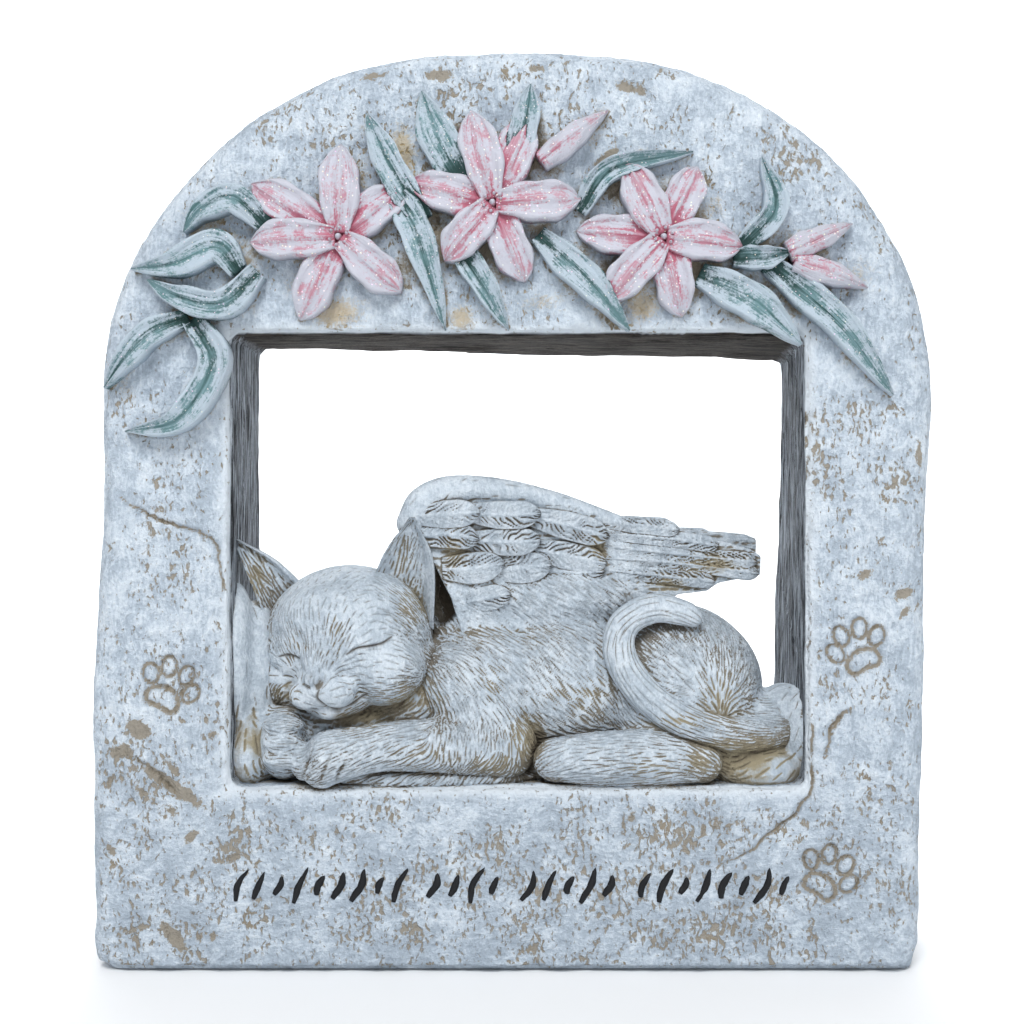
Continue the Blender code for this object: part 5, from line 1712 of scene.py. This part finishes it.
@dataclass(frozen=True)
class Blossom:
    """Acrylic craft paint on resin, dry-brushed with white and dusted with glitter: strong colour in the folds,
    deepened by painted shade, chalky rims and tiny flecks of glitter painted bright as glints."""

    name: str
    deep: str
    body: str
    light: str
    rim: str
    cover: float = 0.5
    flecks: float = 0.17

    def build(self) -> bpy.types.Material:
        """Returns the material."""
        paint = Paint(self.name)
        add, mm, blend = paint.add, paint.mm, Whitewash.blend
        edge, along, tone, hollow = (add("ShaderNodeAttribute", out="Fac", attribute_name=what.value)
                                     for what in (Field.EDGE, Field.ALONG, Field.TONE, Field.HOLLOW_STAIN_AND_SHADE))
        side = add("ShaderNodeMath", {0: edge}, operation="ABSOLUTE")
        fine = add("ShaderNodeTexNoise", {"Vector": mm, "Scale": 1 / 0.55, "Detail": 4.0, "Roughness": 0.7})
        fine = add("ShaderNodeMapRange", {"Value": fine, "From Min": 0.28, "From Max": 0.72})
        patch = add("ShaderNodeTexNoise", {"Vector": mm, "Scale": 1 / 3.2, "Detail": 3.0})
        patch = add("ShaderNodeMapRange", {"Value": patch, "From Min": 0.34, "From Max": 0.66})
        way = add("ShaderNodeCombineXYZ", {0: edge, 1: along, 2: tone})
        lines = add("ShaderNodeMapping", {"Vector": way, "Scale": (7.0, 1.7, 20.0)})
        streak = add("ShaderNodeTexNoise", {"Vector": lines, "Scale": 1.0, "Detail": 4.0, "Roughness": 0.65})
        streak = add("ShaderNodeMapRange", {"Value": streak, "From Min": 0.32, "From Max": 0.68})
        colour = blend(paint, streak, linear(self.body), linear(self.light))
        # The folds take the deep colour towards the petal's base, in patches, and in hollows, where it is painted
        # shade.
        fold = add("ShaderNodeMath", {0: along, 1: -0.65, 2: 0.42}, operation="MULTIPLY_ADD")
        for value, share in ((hollow, 0.8), (streak, -0.35), (patch, 0.35)):
            fold = add("ShaderNodeMath", {0: value, 1: share, 2: fold}, operation="MULTIPLY_ADD")
        fold = add("ShaderNodeMapRange", {"Value": fold, "From Min": 0.1, "From Max": 0.55})
        colour = blend(paint, fold, colour, linear(self.deep))
        # The white brushing keeps out of the hollows: more painted shade there.
        brushed = add("ShaderNodeMath", {0: side, 1: 0.4, 2: self.cover - 1.1}, operation="MULTIPLY_ADD")
        for value, share in ((fine, 0.6), (streak, 0.45), (patch, 0.5), (hollow, -0.9)):
            brushed = add("ShaderNodeMath", {0: value, 1: share, 2: brushed}, operation="MULTIPLY_ADD")
        brushed = add("ShaderNodeMapRange", {"Value": brushed, "From Min": 0.05, "From Max": 0.4, "To Max": 0.92})
        colour = blend(paint, brushed, colour, linear(self.rim))
        # Glitter: some flecks are painted near white with a lower roughness: painted glints.
        spot, hue = (add("ShaderNodeTexVoronoi", {"Vector": mm, "Scale": 1 / 0.8}, out)
                     for out in ("Distance", "Color"))
        pick = add("ShaderNodeSeparateColor", {0: hue}, "Red")
        pick = add("ShaderNodeMath", {0: pick, 1: 0.65}, operation="GREATER_THAN")
        glint = add("ShaderNodeMath", {0: spot, 1: self.flecks}, operation="LESS_THAN")
        glint = add("ShaderNodeMath", {0: glint, 1: pick}, operation="MULTIPLY")
        glint = add("ShaderNodeMath", {0: glint, 1: 0.9}, operation="MULTIPLY")
        bright = blend(paint, 0.7, hue, linear("FFFFFF"))
        colour = blend(paint, glint, colour, bright)
        rough = add("ShaderNodeMapRange", {"Value": glint, "To Min": 0.66, "To Max": 0.25})
        height = add("ShaderNodeMath", {0: streak, 1: 0.9, 2: fine}, operation="MULTIPLY_ADD")
        return paint.finish(colour, rough, height, 0.2)


@dataclass(frozen=True)
class Enamel:
    """Black enamel laid on with a fine brush: dark, with a soft shine."""

    name: str = "black_enamel"
    colour: str = "17181B"

    def build(self) -> bpy.types.Material:
        """Returns the material."""
        paint = Paint(self.name)
        fine = paint.add("ShaderNodeTexNoise", {"Vector": paint.mm, "Scale": 1 / 0.5, "Detail": 2.0})
        rough = paint.add("ShaderNodeMapRange", {"Value": fine, "To Min": 0.38, "To Max": 0.6})
        return paint.finish(linear(self.colour), rough, fine, 0.05)


def show(surface: Surface, material: bpy.types.Material) -> None:
    """Dresses a piece, hangs it on the root body and hides the marker's part."""
    item = surface.item
    item.data.materials.clear()
    item.data.materials.append(material)
    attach(item, "root")
    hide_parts(NODE)
    log.info("%s: %d points", item.name, len(item.data.vertices))


# The studio

@dataclass
class Studio:
    """The plain floor, the soft lights and the camera."""

    span: float = 347.0
    eye_height: float = 99.6
    pixels_per_mm: float = 4.631
    image: int = 1024
    sensor: float = 36.0

    def floor(self) -> None:
        """Makes a pale floor that sweeps up behind the marker."""
        mesh = bmesh.new()
        bmesh.ops.create_grid(mesh, x_segments=1, y_segments=1, size=1)
        bmesh.ops.scale(mesh, vec=(3.0, 1.4, 1), verts=mesh.verts)
        back = [edge for edge in mesh.edges if all(vert.co.y > 1 for vert in edge.verts)]
        made = bmesh.ops.spin(mesh, geom=back, cent=(0, 1.4, 0.7), axis=(1, 0, 0),
                              angle=math.radians(90), steps=24)["geom_last"]
        made = bmesh.ops.extrude_edge_only(mesh, edges=[part for part in made
                                                        if isinstance(part, bmesh.types.BMEdge)])["geom"]
        bmesh.ops.translate(mesh, vec=(0, 0, 2), verts=[part for part in made
                                                        if isinstance(part, bmesh.types.BMVert)])
        bmesh.ops.recalc_face_normals(mesh, faces=mesh.faces)
        data = bpy.data.meshes.new("studio_floor")
        mesh.to_mesh(data)
        mesh.free()
        data.shade_smooth()
        item = bpy.data.objects.new("studio_floor", data)
        bpy.context.scene.collection.objects.link(item)
        paint = Paint("studio_paper")
        paint.shader.inputs["Base Color"].default_value = linear("F4F5F6")
        paint.shader.inputs["Roughness"].default_value = 0.9
        data.materials.append(paint.material)

    def light(self, role: Role, place: Sequence[float], power: float, size: float,
              target: Sequence[float] = (0, 0, 0.1)) -> None:
        """Hangs a soft square light that looks at a target."""
        data = bpy.data.lights.new(role.value, "AREA")
        data.energy = power
        data.size = size
        item = bpy.data.objects.new(role.value, data)
        item.location = place
        look = Vector(target) - Vector(place)
        item.rotation_euler = look.to_track_quat("-Z", "Y").to_euler()
        bpy.context.scene.collection.objects.link(item)

    def lights(self) -> None:
        """Hangs the lights and sets the sky."""
        self.light(Role.KEY, (-0.12, -0.78, 0.82), 8.6, 0.4)
        self.light(Role.FILL, (0.7, -0.8, 0.35), 2.0, 0.8)
        self.light(Role.TOP, (0.0, 0.6, 1.1), 3.0, 0.7)
        self.light(Role.BACKDROP, (0.0, 0.7, 1.3), 45.0, 1.2, (0, 2.1, 0.4))
        world = bpy.data.worlds.new("studio")
        world.use_nodes = True
        sky = world.node_tree.nodes["Background"]
        sky.inputs["Color"].default_value = linear("F6F8FB")
        sky.inputs["Strength"].default_value = 0.5
        bpy.context.scene.world = world
        bpy.context.scene.view_settings.view_transform = "Standard"

    def camera(self) -> None:
        """Sets the camera level with the marker's middle, straight in front."""
        data = bpy.data.cameras.new("camera")
        data.sensor_width = self.sensor
        data.lens = self.sensor * self.span / (self.image / self.pixels_per_mm)
        item = bpy.data.objects.new("camera", data)
        item.location = (0, (FRONT_Y - self.span) * MM, self.eye_height * MM)
        item.rotation_euler = (math.radians(90), 0, 0)
        bpy.context.scene.collection.objects.link(item)
        bpy.context.scene.camera = item


def main() -> None:
    """Builds the marker piece by piece, dresses it and sets up the studio."""
    logging.basicConfig(level=logging.INFO, format="%(message)s")
    slab = Slab().build()
    spray = Spray()
    lilies, buds, leaves = spray.lilies(), spray.buds(), spray.leaves()
    trunk, tail, head = Trunk().build(), Tail().build(), Head().build()
    ears = [Ear("ear_right", ((-34.0, 12, 42), (-29.6, 9.5, 51.4)), ((-18.8, 11.8, 33), (-18.8, 8.0, 48.6)),
                (-23.6, 6.5, 58.3), 4.5, 3.0, 72.0).build(),
            Ear("ear_left", ((-57.5, 12, 36), (-60.8, 9.5, 46)), ((-48.0, 17, 42), (-55.0, 12.5, 49.0)),
                (-63.2, 9.0, 53.4), 2.0, 2.6, 130.0).build()]
    wings = Wing("wing_near", True).build() + Wing("wing_far", False).build()
    strokes = Inscription().build(slab.tree())
    kitten = [*trunk, tail, head, *ears, *wings]
    StainAndShadeInHollows().fill([slab, *lilies, buds, leaves, *kitten])
    wash = Whitewash("whitewashed_resin").build()
    # The fur is a lighter copy of the slab's whitewash: whiter paint, and painted light that makes up for the
    # lintel's shade on the kitten.
    fur = Whitewash("whitewashed_fur", shade="A3B0BC", white="C0CCD7", stain="7E7970", gold="9B927A",
                    hairy=True, cut_pull=0.7).build()
    pink = Blossom("pink_craft_paint", "B96D80", "C08C9B", "C6ABB8", "C6CBD6", 0.6, 0.24).build()
    green = Blossom("teal_craft_paint", "34504E", "5A7F81", "86A4AC", "BECCD8", 0.5, 0.17).build()
    show(slab, wash)
    for surface in kitten:
        paint_tan_spots(surface)
        show(surface, fur)
    for surface in (*lilies, buds):
        show(surface, pink)
    show(leaves, green)
    show(strokes, Enamel().build())
    studio = Studio()
    studio.floor()
    studio.lights()
    studio.camera()


if __name__ == "__main__":
    main()
